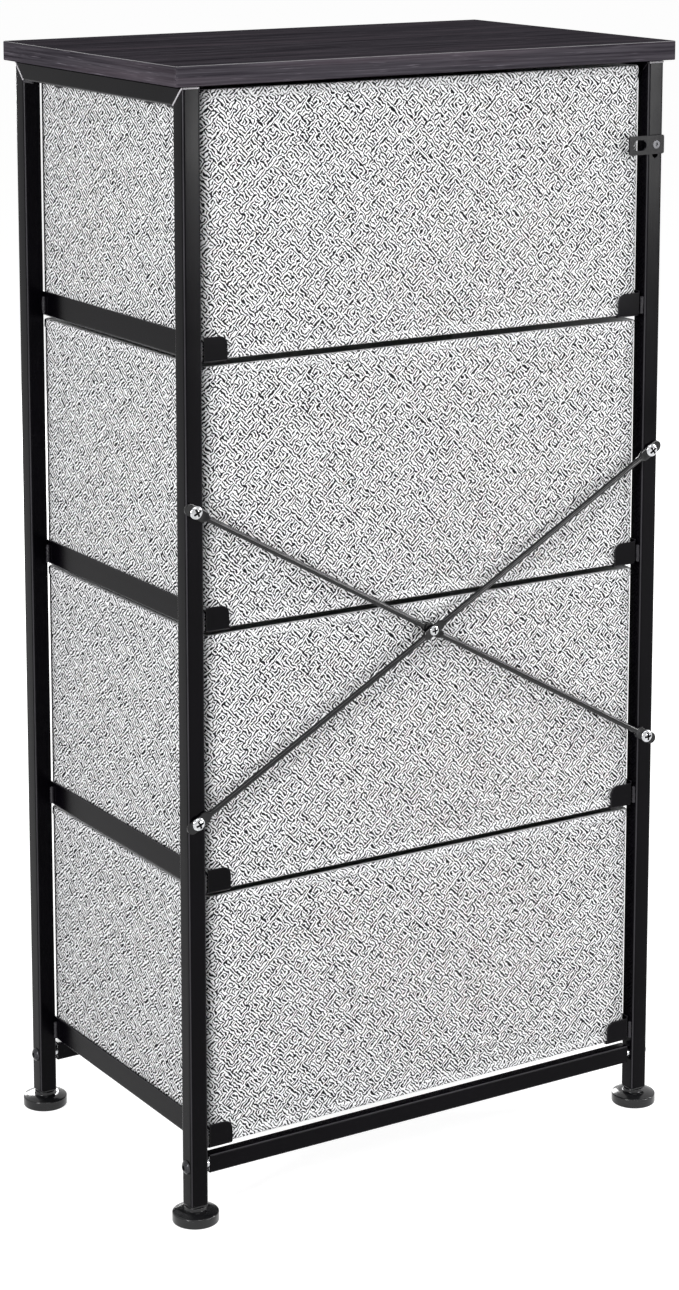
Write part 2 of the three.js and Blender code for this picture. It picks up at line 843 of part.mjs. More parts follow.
function baseBoard() {
  const inset = 2 * (hemProud + drawerWall + baseBoardGap);
  const outline = roundedRectangle(drawerWidth - inset, drawerDepth - inset, baseBoardGap, 1);
  return extrude(outline, baseBoardThickness);
}

// Pull strap: flat sewn ends and a bowed middle, drawn as a ribbon on edge and raised to its width
function pullStrap() {
  const half = strapLength / 2;
  const bowStart = half - strapSewnLength;
  const ribbon = [[-half, 0]];
  for (let i = 0; i <= strapSteps; i += 1) {
    const share = i / strapSteps;
    ribbon.push([-bowStart + strapRise * share, (strapReach * (1 - Math.cos(Math.PI * share))) / 2]);
  }
  const mirrored = ribbon.map(([x, y]) => [-x, y]).reverse();
  const inner = [...ribbon, ...mirrored];
  const outer = inner.map(([x, y]) => [x, y + strapThickness]).reverse();
  const strap = extrude([...inner, ...outer].map(([x, y]) => [x, -y]), strapWidth);
  strap.translate(0, 0, -strapWidth / 2);
  return strap;
}

for (let level = 0; level < drawerCount; level += 1) {
  const drawer = new THREE.Group();
  drawer.position.set(0, (drawerFront + drawerBack) / 2, lowestDrawer + level * drawerPitch);
  const name = `drawer_${level + 1}`;
  const strapY = hemProud - drawerDepth / 2 - seat;
  drawer.add(piece(`${name}_box`, 'fabric', drawerBox()));
  drawer.add(piece(`${name}_base_board`, 'panel', baseBoard(), 0, 0, drawerFloor + seat));
  drawer.add(piece(`${name}_pull_strap`, 'strap', pullStrap(), 0, strapY, drawerHeight - strapDrop));
  chest.add(drawer);
}

export default chest;
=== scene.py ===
# %% [markdown]
# # The looks of a fabric drawer dresser
#
# The object is a narrow chest of four open-topped fabric drawers in a black steel frame, with a
# wood-grain top board. Its construction is already packed as a fixed frame of named pieces. This
# lesson dresses that frame: it keeps every place and size, and gives each surface its finish.
# Lengths are in metres, +Z is up, the front looks towards -Y, and left and right are as seen
# from the front.

# %% Load the frame
import math

import bmesh
import bpy
from mathutils import Matrix, Vector, noise


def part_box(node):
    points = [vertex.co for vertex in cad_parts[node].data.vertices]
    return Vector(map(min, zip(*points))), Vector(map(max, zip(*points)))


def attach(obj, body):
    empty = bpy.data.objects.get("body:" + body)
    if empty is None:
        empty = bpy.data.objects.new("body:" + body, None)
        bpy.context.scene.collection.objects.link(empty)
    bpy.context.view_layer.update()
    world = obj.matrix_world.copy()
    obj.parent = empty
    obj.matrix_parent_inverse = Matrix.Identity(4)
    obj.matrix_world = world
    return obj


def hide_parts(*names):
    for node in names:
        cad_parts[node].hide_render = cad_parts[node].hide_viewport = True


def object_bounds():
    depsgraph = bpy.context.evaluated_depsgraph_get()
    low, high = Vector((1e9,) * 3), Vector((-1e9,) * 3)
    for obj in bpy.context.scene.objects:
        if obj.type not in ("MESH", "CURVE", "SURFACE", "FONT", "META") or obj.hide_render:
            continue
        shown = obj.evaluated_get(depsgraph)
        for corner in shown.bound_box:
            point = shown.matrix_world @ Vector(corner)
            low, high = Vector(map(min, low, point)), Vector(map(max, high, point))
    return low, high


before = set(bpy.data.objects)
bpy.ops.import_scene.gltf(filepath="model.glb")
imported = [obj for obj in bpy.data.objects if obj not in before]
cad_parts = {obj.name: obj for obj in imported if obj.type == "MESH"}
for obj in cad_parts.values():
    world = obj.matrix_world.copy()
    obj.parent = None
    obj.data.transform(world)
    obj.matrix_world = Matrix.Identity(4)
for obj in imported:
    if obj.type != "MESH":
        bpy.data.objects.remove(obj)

cad_low, cad_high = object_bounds()
mm = 0.001
quarter = math.pi / 2
sides = (("left", -1), ("right", 1))
ends = (("front", -1), ("rear", 1))
corners = [f"{end}_{side}" for end, _ in ends for side, _ in sides]
drawer_levels = range(1, 5)
print("frame box in mm:", [round(v / mm, 1) for v in (*cad_low, *cad_high)])

# %% [markdown]
# ## The camera
#
# The picture is taken from behind and above, with a long lens whose film is shifted so that
# upright edges stay upright. A camera is a place, a direction, a focal length and a shift. The
# place below comes from fitting those to edges of known length. The shift is kept smaller than a
# full architectural shift and the camera tips down a little instead, so that the object also
# stays in the frame when the same camera is moved round it.

# %% Camera
camera_place = Vector((1.3005, 2.0803, 1.0736))
camera_yaw = math.radians(32.011)
camera_pitch = math.radians(9.891)
camera_lens = 86.97
camera_shift = -0.237
film_width = 36


def in_scene(name, data):
    """A new object at the origin that holds the data and is part of the scene."""
    made = bpy.data.objects.new(name, data)
    bpy.context.scene.collection.objects.link(made)
    return made


camera_data = bpy.data.cameras.new("camera")
camera_data.lens = camera_lens
camera_data.sensor_width = film_width
camera_data.shift_y = camera_shift
camera = in_scene("camera", camera_data)
looking = Vector((
    -math.sin(camera_yaw) * math.cos(camera_pitch),
    -math.cos(camera_yaw) * math.cos(camera_pitch),
    -math.sin(camera_pitch),
))
camera.location = camera_place
camera.rotation_euler = looking.to_track_quat("-Z", "Y").to_euler()
bpy.context.scene.camera = camera
bpy.context.scene.view_settings.view_transform = "Standard"
print("camera stands", round(camera_place.xy.length, 2), "m from the middle of the chest")

# %% [markdown]
# ## Helpers for nodes
#
# Materials and Geometry Nodes are both built from nodes that are linked socket to socket. One
# helper adds a node, sets its options and fills its inputs, with a plain value or with a link
# where the value is another node's socket. It keeps the recipes below short enough to read.

# %% Node helpers
def add_node(tree, kind, inputs=None, **options):
    node = tree.nodes.new(kind)
    for key, value in options.items():
        setattr(node, key, value)
    for key, value in (inputs or {}).items():
        if isinstance(value, bpy.types.NodeSocket):
            tree.links.new(value, node.inputs[key])
        else:
            node.inputs[key].default_value = value
    return node


def math_node(tree, operation, first, second=0.0):
    return add_node(tree, "ShaderNodeMath", {0: first, 1: second}, operation=operation).outputs[0]


def times(tree, value, factor):
    return math_node(tree, "MULTIPLY", value, factor)


def plus(tree, first, second):
    return math_node(tree, "ADD", first, second)


def vector_of(tree, x=0.0, y=0.0, z=0.0):
    return add_node(tree, "ShaderNodeCombineXYZ", {0: x, 1: y, 2: z}).outputs[0]


# %% [markdown]
# ## Helpers for finishes
#
# No real surface is one flat colour. A noise varies nearly every finish here: it takes the colour
# from a dark to a light shade, changes the roughness by a little, and raises the surface by some
# hundredths of a millimetre. Most of a noise's values lie between 0.3 and 0.7, so that stretch is
# what gets spread over the whole change. Scales are given as lumps a metre, because all the
# coordinates are in metres.

# %% Textures
noise_low = 0.3
noise_high = 0.7


def place_of(tree, source="Object"):
    return add_node(tree, "ShaderNodeTexCoord").outputs[source]


def mapped(tree, vector, **inputs):
    return add_node(tree, "ShaderNodeMapping", {"Vector": vector, **inputs}).outputs[0]


def cloud(tree, vector, scale=1.0, detail=2, rough=0.5, distortion=0.0):
    return add_node(tree, "ShaderNodeTexNoise", {
        "Vector": vector,
        "Scale": scale,
        "Detail": detail,
        "Roughness": rough,
        "Distortion": distortion,
    }).outputs["Fac"]


def ripple(tree, vector, scale, direction, distortion, detail=2.0, detail_scale=1.0, phase=0.0):
    """Parallel waves that follow one another along an axis."""
    return add_node(tree, "ShaderNodeTexWave", {
        "Vector": vector,
        "Scale": scale,
        "Distortion": distortion,
        "Detail": detail,
        "Detail Scale": detail_scale,
        "Phase Offset": phase,
    }, bands_direction=direction).outputs["Fac"]


def spread(tree, value, low, high, to_low=0.0, to_high=1.0):
    """Stretches the run from low to high over another run, and holds it at its ends."""
    return add_node(tree, "ShaderNodeMapRange", {
        "Value": value,
        "From Min": low,
        "From Max": high,
        "To Min": to_low,
        "To Max": to_high,
    }).outputs[0]


def colour_mix(tree, share, first, second, way="MIX"):
    inputs = {"Factor": share, 6: first, 7: second}
    return add_node(tree, "ShaderNodeMix", inputs, data_type="RGBA", blend_type=way).outputs[2]


def tint(tree, share, dark, light):
    return colour_mix(tree, share, (*dark, 1), (*light, 1))


# %% Surfaces
def new_surface(name, roughness, metallic=0.0, specular=0.5):
    material = bpy.data.materials.new(name)
    material.use_nodes = True
    tree = material.node_tree
    shader = tree.nodes["Principled BSDF"]
    shader.inputs["Roughness"].default_value = roughness
    shader.inputs["Metallic"].default_value = metallic
    shader.inputs["Specular IOR Level"].default_value = specular
    return material, tree, shader


def paint(tree, shader, value, dark, light, low=noise_low, high=noise_high):
    shade = tint(tree, spread(tree, value, low, high), dark, light)
    tree.links.new(shade, shader.inputs["Base Color"])


def set_gloss(tree, shader, value, rough_at_low, rough_at_high):
    rough = spread(tree, value, noise_low, noise_high, rough_at_low, rough_at_high)
    tree.links.new(rough, shader.inputs["Roughness"])


def raise_surface(tree, shader, height, depth, strength=1.0):
    bump = add_node(tree, "ShaderNodeBump", {"Height": height, "Distance": depth, "Strength": strength})
    tree.links.new(bump.outputs[0], shader.inputs["Normal"])


def grained(name, dark, light, rough, grain, relief, change=0.0, detail=3, grit=0.5, **plain):
    """A finish that one noise varies. Its roughness goes from rough to rough + change."""
    material, tree, shader = new_surface(name, rough, **plain)
    lumps = cloud(tree, place_of(tree), grain, detail, grit)
    paint(tree, shader, lumps, dark, light)
    if change:
        set_gloss(tree, shader, lumps, rough, rough + change)
    raise_surface(tree, shader, lumps, relief)
    return material


# %% [markdown]
# ## Finish: powder coat on the steel frame
#
# The tubes and folded rails are sprayed with dry black powder and baked. The film is a satin
# black with a very fine orange-peel texture. Its rounded corners get a glossier, much paler
# shade of it, a painted highlight that draws thin lines of light along the edges. A fine noise in
# object coordinates gives the peel, and a broad one a slight change of shade and gloss. The same
# recipe makes three shades: the film, the painted highlight of its corners, and the near-white
# painted highlight along a ground mitre.

# %% Powder coat
peel_grain = 900
peel_depth = 0.02 * mm
patch_grain = 14
gloss_change = 0.04


def powder_coat(name, dark, light, rough, specular):
    material, tree, shader = new_surface(name, rough, specular=specular)
    place = place_of(tree)
    patches = cloud(tree, place, patch_grain, detail=4)
    paint(tree, shader, patches, dark, light)
    set_gloss(tree, shader, patches, rough - gloss_change, rough + gloss_change)
    raise_surface(tree, shader, cloud(tree, place, peel_grain, detail=3), peel_depth)
    return material


steel = powder_coat(
    "powder_coat", (0.0008, 0.0006, 0.0012), (0.0018, 0.0014, 0.0026), rough=0.22, specular=0.058,
)
# The corners' shade is far paler than the film: a painted highlight on the rounded edges.
steel_corner_highlight = powder_coat(
    "powder_coat_corner_highlight", (0.018, 0.017, 0.02), (0.035, 0.033, 0.038), rough=0.24, specular=0.2,
)
# The mitres' near-white shade is a painted highlight.
seam_painted_highlight = powder_coat(
    "powder_coat_seam_highlight", (0.35, 0.34, 0.36), (0.6, 0.58, 0.61), rough=0.2, specular=0.5,
)
print("powder coat nodes:", len(steel.node_tree.nodes))

# %% [markdown]
# ## Finish: glossy black rod, black bolts, bright zinc and moulded plastic
#
# The brace rods are dipped in black enamel, which dries glossier than the powder on the frame.
# Enamel is a paint, so its shader isn't metallic. The hex-socket bolts and the screws of the
# board and the wall plate are black oxide, a thin dark skin on steel. The brace screws, their nut
# and the end plugs are bright zinc plate. Both are metallic. Little light comes back out of a
# recess, so in the zinc the recess is painted with shade: a near-black copy of the same plate.
# The feet and the plugs in the posts are moulded in black plastic, polished, with only a hint of
# unevenness where the plastic shrank. One noise varies each of them, because a perfectly even
# gloss looks unreal.

# %% Rods, bolts, screws and plastic
enamel = grained(
    "rod_enamel", (0.003, 0.003, 0.0035), (0.005, 0.005, 0.006),
    rough=0.08, change=0.05, grain=60, relief=0.04 * mm, specular=0.3,
)
oxide = grained(
    "black_oxide", (0.02, 0.02, 0.022), (0.045, 0.045, 0.05),
    rough=0.24, change=0.12, grain=700, relief=0.01 * mm, metallic=0.7,
)
zinc_plate = {"rough": 0.07, "change": 0.09, "grain": 500, "relief": 0.012 * mm, "metallic": 1.0}
zinc = grained("bright_zinc", (0.42, 0.425, 0.44), (0.62, 0.625, 0.64), **zinc_plate)
# The recess plate is painted shade: the zinc made near-black inside the cross.
recess_painted_shade = grained("bright_zinc_painted_shade", (0.004, 0.004, 0.0045), (0.012, 0.012, 0.013), **zinc_plate)
plastic = grained(
    "moulded_plastic", (0.006, 0.006, 0.007), (0.010, 0.010, 0.011),
    rough=0.11, change=0.09, grain=45, detail=2, relief=0.06 * mm, specular=0.35,
)
print("enamel nodes:", len(enamel.node_tree.nodes))

# %% [markdown]
# ## Finish: wood-grain laminate
#
# The board is fibreboard wrapped in a printed, lightly embossed paper: near black, with long
# paler and slightly reddish streaks. The streaks run along the board on its top and its long
# edges. A short edge has a strip of its own, whose grain runs along that edge. So the material
# reads the surface direction, and swaps the two axes on the short edges before it stretches a
# noise into streaks.

# %% Laminate
short_edge_facing = 0.7
broad_streaks = (2.5, 40, 80)
fine_streaks = (9, 420, 560)
pore_lines = (28, 900, 1100)
broad_share, fine_share, pore_share = 0.4, 0.6, 0.6
pale_span = (0.38, 0.7)
pore_span = (0.64, 0.74)
reddish_span = (0.5, 0.75)
reddish = (0.012, 0.003, 0.005)
paper_roughness = (0.56, 0.42)
paper_relief = 0.08 * mm


def board_place(tree):
    """Coordinates whose first axis runs along the grain, on the short edges too."""
    coordinates = add_node(tree, "ShaderNodeTexCoord").outputs
    x, y, z = add_node(tree, "ShaderNodeSeparateXYZ", {0: coordinates["Object"]}).outputs
    facing = add_node(tree, "ShaderNodeSeparateXYZ", {0: coordinates["Normal"]}).outputs[0]
    on_short_edge = math_node(tree, "GREATER_THAN", math_node(tree, "ABSOLUTE", facing), short_edge_facing)
    return add_node(tree, "ShaderNodeMix", {
        "Factor": on_short_edge,
        4: coordinates["Object"],
        5: vector_of(tree, y, x, z),
    }, data_type="VECTOR").outputs[1]


def laminate(name, dark, pale, specular):
    material, tree, shader = new_surface(name, 0.5, specular=specular)
    base = board_place(tree)
    broad = cloud(tree, mapped(tree, base, Scale=broad_streaks), detail=5, rough=0.6, distortion=0.6)
    fine = cloud(tree, mapped(tree, base, Scale=fine_streaks), detail=4, rough=0.65)
    pores = cloud(tree, mapped(tree, base, Scale=pore_lines))
    grain = plus(tree, times(tree, broad, broad_share), times(tree, fine, fine_share))
    body = tint(tree, spread(tree, grain, *pale_span), dark, pale)
    lined = colour_mix(tree, spread(tree, pores, *pore_span), body, (*pale, 1), "ADD")
    flush = tint(tree, spread(tree, broad, *reddish_span), (0, 0, 0), reddish)
    tree.links.new(colour_mix(tree, 1.0, lined, flush, "ADD"), shader.inputs["Base Color"])
    set_gloss(tree, shader, fine, *paper_roughness)
    raise_surface(tree, shader, plus(tree, fine, times(tree, pores, pore_share)), paper_relief)
    return material


board_paper = laminate(
    "wood_laminate", (0.025, 0.022, 0.028), (0.1, 0.091, 0.106), specular=0.0,
)
# The edge's paper is far paler than the top's: a painted highlight along the eased edges.
board_edge_highlight = laminate(
    "wood_laminate_edge_highlight", (0.16, 0.155, 0.165), (0.34, 0.335, 0.345), specular=0.3,
)
print("laminate nodes:", len(board_paper.node_tree.nodes))

# %% [markdown]
# ## Finish: speckled fabric
#
# The drawers are sewn from a non-woven polyester with a printed linen look: short black flecks
# on near-white, in broken rows that lean one way in some patches and the other way in the rest.
# A banded wave, turned by 45 degrees, gives rows at one spacing. A noise that is stretched along
# them breaks the rows into flecks. A second set leans the other way, a broad noise says which of
# the two shows, and a steep ramp makes black and white of them. The pattern is laid on the
# cloth's own UV map, in metres, so that it follows each wall round the corners. Two crossed
# waves give the pressed threads their relief.

# %% Speckled fabric
fleck_turn = math.radians(45)
fleck_gap = 2.4 * mm
falling_length = 4 * mm
rising_length = 3.5 * mm
rising_seed = 3.7
wave_radians = 20
row_scale = 2 * math.pi / wave_radians / fleck_gap
row_distortion = 5
lean_patches = 130
lean_span = (0.49, 0.52)
thread_scale = 420
thread_distortion = 1.5
cloth_roughness = (0.98, 0.86)
cloth_relief = 0.2 * mm


def fleck_rows(tree, vector, turn, length, seed):
    """Broken rows of flecks that lean by the turn. A wave of scale 1 has 20 radians a metre."""
    leaning = mapped(tree, vector, Rotation=(0, 0, turn))
    rows = ripple(tree, leaning, row_scale, "Y", row_distortion, detail=1, detail_scale=2, phase=seed)
    shape = mapped(tree, leaning, Scale=(1 / length, 1 / fleck_gap, 1), Location=(seed, seed, 0))
    return plus(tree, times(tree, rows, 0.5), times(tree, cloud(tree, shape, detail=1), 0.5))


def speckled_fabric(name, dark, light, low, high):
    material, tree, shader = new_surface(name, 0.92, specular=0.2)
    plain = place_of(tree, "UV")
    falling = fleck_rows(tree, plain, fleck_turn, falling_length, 0.0)
    rising = fleck_rows(tree, plain, -fleck_turn, rising_length, rising_seed)
    leaning = spread(tree, cloud(tree, plain, lean_patches), *lean_span)
    inputs = {"Factor": leaning, 2: falling, 3: rising}
    flecks = add_node(tree, "ShaderNodeMix", inputs, data_type="FLOAT").outputs[0]
    weave = times(tree, *(ripple(tree, plain, thread_scale, way, thread_distortion) for way in "XY"))
    paint(tree, shader, flecks, dark, light, low, high)
    set_gloss(tree, shader, flecks, *cloth_roughness)
    raise_surface(tree, shader, plus(tree, flecks, times(tree, weave, 0.5)), cloth_relief, strength=0.4)
    return material


near_white = (0.96, 0.96, 0.975)
drawer_cloth = speckled_fabric(
    "speckled_fabric", (0.008, 0.008, 0.01), near_white, low=0.445, high=0.53,
)
hem_cloth = speckled_fabric(
    "speckled_fabric_hem", (0.02, 0.02, 0.023), near_white, low=0.41, high=0.495,
)
print("rows of flecks:", fleck_gap / mm, "mm apart")

# %% [markdown]
# ## Finish: lining, thread, strap webbing and the stiff board
#
# The lining is a plain grey felted cloth. The thread is pale, and its twist is a fine noise. The
# pull strap is a flat band folded from a tighter grey cloth, with a fine rib across it. The
# board that lies in a drawer is pressed fibre covered in grey paper, and only shows when the
# drawer is open. All of them have small random fibres, so that they don't look like paint.

# %% Lining, thread, webbing and fibreboard
fibre_grain = 800
felt_points = 520
felt_relief = 0.2 * mm
rib_scale = 260
rib_distortion = 0.6
strap_grain = 900
strap_relief = 0.3 * mm


def lining_cloth():
    material, tree, shader = new_surface("lining_cloth", 0.95, specular=0.2)
    plain = place_of(tree, "UV")
    fibres = cloud(tree, plain, fibre_grain, detail=4)
    dots = add_node(tree, "ShaderNodeTexVoronoi", {"Vector": plain, "Scale": felt_points})
    paint(tree, shader, fibres, (0.50, 0.50, 0.51), (0.64, 0.64, 0.65))
    felt = plus(tree, fibres, dots.outputs["Distance"])
    raise_surface(tree, shader, felt, felt_relief, strength=0.5)
    return material


def strap_webbing():
    material, tree, shader = new_surface("strap_webbing", 0.9, specular=0.25)
    plain = place_of(tree, "UV")
    ribs = ripple(tree, plain, rib_scale, "X", rib_distortion)
    fibres = cloud(tree, plain, strap_grain, detail=3)
    mixed = plus(tree, times(tree, ribs, 0.5), times(tree, fibres, 0.5))
    paint(tree, shader, mixed, (0.27, 0.27, 0.285), (0.56, 0.56, 0.575), low=0.25, high=0.75)
    raise_surface(tree, shader, mixed, strap_relief, strength=0.6)
    return material


lining = lining_cloth()
thread = grained(
    "sewing_thread", (0.62, 0.62, 0.63), (0.86, 0.86, 0.87),
    rough=0.8, grain=1500, detail=2, relief=0.08 * mm, specular=0.3,
)
webbing = strap_webbing()
fibreboard = grained(
    "pressed_fibre", (0.24, 0.24, 0.245), (0.36, 0.36, 0.365),
    rough=0.85, grain=320, detail=5, grit=0.65, relief=0.1 * mm, specular=0.3,
)
print("lining nodes:", len(lining.node_tree.nodes), "and webbing nodes:", len(webbing.node_tree.nodes))

# %% [markdown]
# ## Helpers for pieces
#
# A piece is a mesh in its final place, with its object at the origin. One helper makes the mesh,
# one shades it smooth but keeps its true corners, and one hands the piece over: it rides on a
# body of the frame, takes a finish, and stands for the plain pieces that it replaces.

# %% Mesh helpers
def mesh_object(name, points, faces, edges=()):
    mesh = bpy.data.meshes.new(name)
    mesh.from_pydata([tuple(p) for p in points], list(edges), faces)
    mesh.update()
    return in_scene(name, mesh)


def soften(obj, corner=38):
    """Shades smooth across every edge that bends by less than the corner's degrees."""
    work = bmesh.new()
    work.from_mesh(obj.data)
    limit = math.radians(corner)
    for edge in work.edges:
        edge.smooth = len(edge.link_faces) == 2 and edge.calc_face_angle(0) < limit
    for face in work.faces:
        face.smooth = True
    work.to_mesh(obj.data)
    work.free()


def face_outwards(obj):
    work = bmesh.new()
    work.from_mesh(obj.data)
    bmesh.ops.recalc_face_normals(work, faces=work.faces)
    work.to_mesh(obj.data)
    work.free()
    return obj


def keep_flats(obj):
    """Lets the large faces set the shading, so that they stay flat beside rounded edges."""
    normals = obj.modifiers.new("flat_faces", "WEIGHTED_NORMAL")
    normals.keep_sharp = True


def plain_mesh(obj):
    """The object's mesh as its modifiers leave it."""
    seen = obj.evaluated_get(bpy.context.evaluated_depsgraph_get())
    return bpy.data.meshes.new_from_object(seen)


def hand_over(obj, body, slot, materials, *nodes):
    for material in materials:
        obj.data.materials.append(material)
    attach(obj, body)
    if nodes:
        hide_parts(*nodes)
    return obj


# %% Skin over rings
def skin(rings):
    """Points and faces of a closed skin over rings that all have the same number of points."""
    count = len(rings[0])
    last = (len(rings) - 1) * count
    points = [p for ring in rings for p in ring]
    faces = []
    for start in range(0, last, count):
        for i in range(count):
            j = (i + 1) % count
            faces.append((start + i, start + j, start + count + j, start + count + i))
    faces.append(tuple(reversed(range(count))))
    faces.append(tuple(range(last, last + count)))
    return points, faces


def rounded_outline(half_x, half_y, radius, along_x, along_y, around):
    """A rounded rectangle's points, anticlockwise from the +X end of its -Y side."""
    arcs = []
    for turn, (sx, sy) in enumerate(((1, -1), (1, 1), (-1, 1), (-1, -1))):
        angles = [(turn - 1 + step / around) * quarter for step in range(around + 1)]
        arcs.append([(
            sx * (half_x - radius) + radius * math.cos(angle),
            sy * (half_y - radius) + radius * math.sin(angle),
        ) for angle in angles])
    outline = []
    for turn, arc in enumerate(arcs):
        outline += arc
        (x, y), (end_x, end_y) = arc[-1], arcs[(turn + 1) % 4][0]
        run = along_x if turn % 2 else along_y
        for share in [step / run for step in range(1, run)]:
            outline.append((x + (end_x - x) * share, y + (end_y - y) * share))
    return outline


# %% [markdown]
# ## Tubes, rails and plates
#
# These steel pieces already have the right form in the frame: square tube with rounded edges and
# mitred tops, folded angle with a turned-up tab, drilled holes. Their facets only need refining.
# A copy is merged into whole faces. Its rounded corners get the paler shade, a painted highlight,
# its sharp cuts get a fine bevel as the coating rounds them, and on the steel the bevel takes the
# same painted highlight. Weighted normals keep the flats flat. The copy then stands for the plain
# piece. Small fitted pieces are refined in the same way, with a finer bevel.

# %% Refined copies of frame pieces
merge_gap = 0.002 * mm
flat_angle = math.radians(0.5)
cut_angle = math.radians(40)
corner_face = math.cos(math.radians(53))


def on_corner(normal):
    """True for the middle strip of a rounded corner, which faces between two axes."""
    return sorted(abs(v) for v in normal)[1] > corner_face


def refined(node, body, slot, materials, edge=0.25 * mm):
    work = bmesh.new()
    work.from_mesh(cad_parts[node].data)
    bmesh.ops.remove_doubles(work, verts=work.verts, dist=merge_gap)
    bmesh.ops.dissolve_limit(work, angle_limit=flat_angle, verts=work.verts, edges=work.edges)
    if len(materials) > 1:
        for face in work.faces:
            # Corner strips take the paler shade, a painted highlight.
            face.material_index = 1 if on_corner(face.normal) else 0
    mesh = bpy.data.meshes.new(node + "_finished")
    work.to_mesh(mesh)
    work.free()
    made = in_scene(mesh.name, mesh)
    soften(made)
    bevel = made.modifiers.new("coat_rounded_edge", "BEVEL")
    bevel.width = edge
    bevel.segments = 2
    bevel.limit_method = "ANGLE"
    bevel.angle_limit = cut_angle
    # The bevel takes the last finish: on the steel that is the paler shade, a painted highlight.
    bevel.material = len(materials) - 1
    keep_flats(made)
    hand_over(made, body, slot, materials, node)


steel_nodes = [f"{end}_post_{side}" for end, _ in ends for side, _ in sides]
steel_nodes += [f"top_rail_{side}" for side, _ in sides]
steel_nodes += [f"angle_rail_{side}_{level}" for side, _ in sides for level in drawer_levels]
steel_nodes += [f"{end}_cross_rail" for end, _ in ends] + ["wall_anchor_plate"]
for node in steel_nodes:
    refined(node, "root", "frame", [steel, steel_corner_highlight])
print("steel pieces:", len(steel_nodes))

# %% Plugs, collars, the nut and the plate's screw
for corner in corners:
    refined(f"end_plug_{corner}", "root", "zinc", [zinc], edge=0.2 * mm)
    refined(f"post_plug_{corner}", "root", "plastic", [plastic], edge=0.2 * mm)
refined("brace_middle_nut", "root", "zinc", [zinc], edge=0.15 * mm)
refined("wall_anchor_screw", "root", "bolt", [oxide], edge=0.08 * mm)
print("small fitted pieces:", 2 * len(corners) + 2)

# %% [markdown]
# ## The top board
#
# The board is a slab with slightly rounded corners and eased edges. A few stacked outlines make
# it: each ring is the outline drawn in by what the edge has rounded away at that height. The
# eased edge has a far paler, glossier paper, a painted highlight that draws the thin bright line
# round the top.

# %% Board
board_ease = 0.7 * mm
board_corner = 2.2 * mm
board_corner_steps = 6
ease_steps = 4
least_rise, most_rise = 0.2, 0.98


def board():
    low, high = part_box("top_board")
    half = (high - low) / 2
    rings = []
    for top in (False, True):
        for step in range(ease_steps + 1):
            angle = (step if top else ease_steps - step) / ease_steps * quarter
            inset = board_ease * (1 - math.cos(angle))
            rise = board_ease * (1 - math.sin(angle))
            z = high.z - rise if top else low.z + rise
            outline = rounded_outline(
                half.x - inset, half.y - inset, board_corner - inset, 1, 1, board_corner_steps,
            )
            rings.append([(x, y, z) for x, y in outline])
    made = mesh_object("board_finished", *skin(rings))
    for face in made.data.polygons:
        # Eased faces take the paler paper, a painted highlight.
        face.material_index = 1 if least_rise < face.normal.z < most_rise else 0
    soften(made, corner=50)
    keep_flats(made)
    hand_over(made, "root", "board", [board_paper, board_edge_highlight], "top_board")
    print("board in mm:", [round(v / mm, 1) for v in high - low])


board()

# %% [markdown]
# ## Geometry Nodes for small hardware
#
# Thirteen screws and bolts share one recipe, so one tree makes them all. It turns a line into a
# domed head by giving each point of the line a radius, joins a shank to it, cuts a cross or a
# hexagon into the top, and places a copy on each point of a small carrier mesh, each turned by
# a random angle as a screwdriver leaves it. The modifier's inputs are the real sizes.

# %% Geometry Nodes helpers
socket_kinds = {
    float: "NodeSocketFloat",
    int: "NodeSocketInt",
    bool: "NodeSocketBool",
    tuple: "NodeSocketVector",
    type(None): "NodeSocketMaterial",
}


def new_tree(name, inputs):
    """A tree whose inputs are named, with a kind that follows from the value each starts with."""
    tree = bpy.data.node_groups.new(name, "GeometryNodeTree")
    tree.interface.new_socket("Geometry", in_out="INPUT", socket_type="NodeSocketGeometry")
    for label, value in inputs.items():
        socket = tree.interface.new_socket(label, in_out="INPUT", socket_type=socket_kinds[type(value)])
        if value is not None:
            socket.default_value = value
    tree.interface.new_socket("Geometry", in_out="OUTPUT", socket_type="NodeSocketGeometry")
    return tree, tree.nodes.new("NodeGroupInput").outputs


def painted(tree, geometry, material, selection=True):
    return add_node(tree, "GeometryNodeSetMaterial", {
        "Geometry": geometry,
        "Selection": selection,
        "Material": material,
    }).outputs[0]


def close_tree(tree, geometry, material, recess_shade_material=None):
    real = add_node(tree, "GeometryNodeRealizeInstances", {"Geometry": geometry}).outputs[0]
    rest = True
    # Marked recess faces take the recess material, which on the zinc screws is painted shade.
    if recess_shade_material:
        inside = add_node(tree, "GeometryNodeInputNamedAttribute", {"Name": "recess"}, data_type="BOOLEAN")
        real = painted(tree, real, recess_shade_material, inside.outputs[0])
        rest = add_node(tree, "FunctionNodeBooleanMath", {0: inside.outputs[0]}, operation="NOT").outputs[0]
    add_node(tree, "NodeGroupOutput", {0: painted(tree, real, material, rest)})
    return tree


def grow(name, carrier, tree, values):
    """Runs the tree on a carrier mesh and returns the result as a plain mesh object."""
    modifier = carrier.modifiers.new("grow", "NODES")
    modifier.node_group = tree
    sockets = {s.name: s.identifier for s in tree.interface.items_tree if s.in_out == "INPUT"}
    for label, value in values.items():
        modifier[sockets[label]] = value
    mesh = plain_mesh(carrier)
    mesh.name = name
    bpy.data.objects.remove(carrier)
    return in_scene(name, mesh)


# %% A tree for driven heads
head_rings = 12
head_round_steps = 48
dome_end = 0.97
shank_lap = 0.2 * mm
hexagon_corner = 0.577


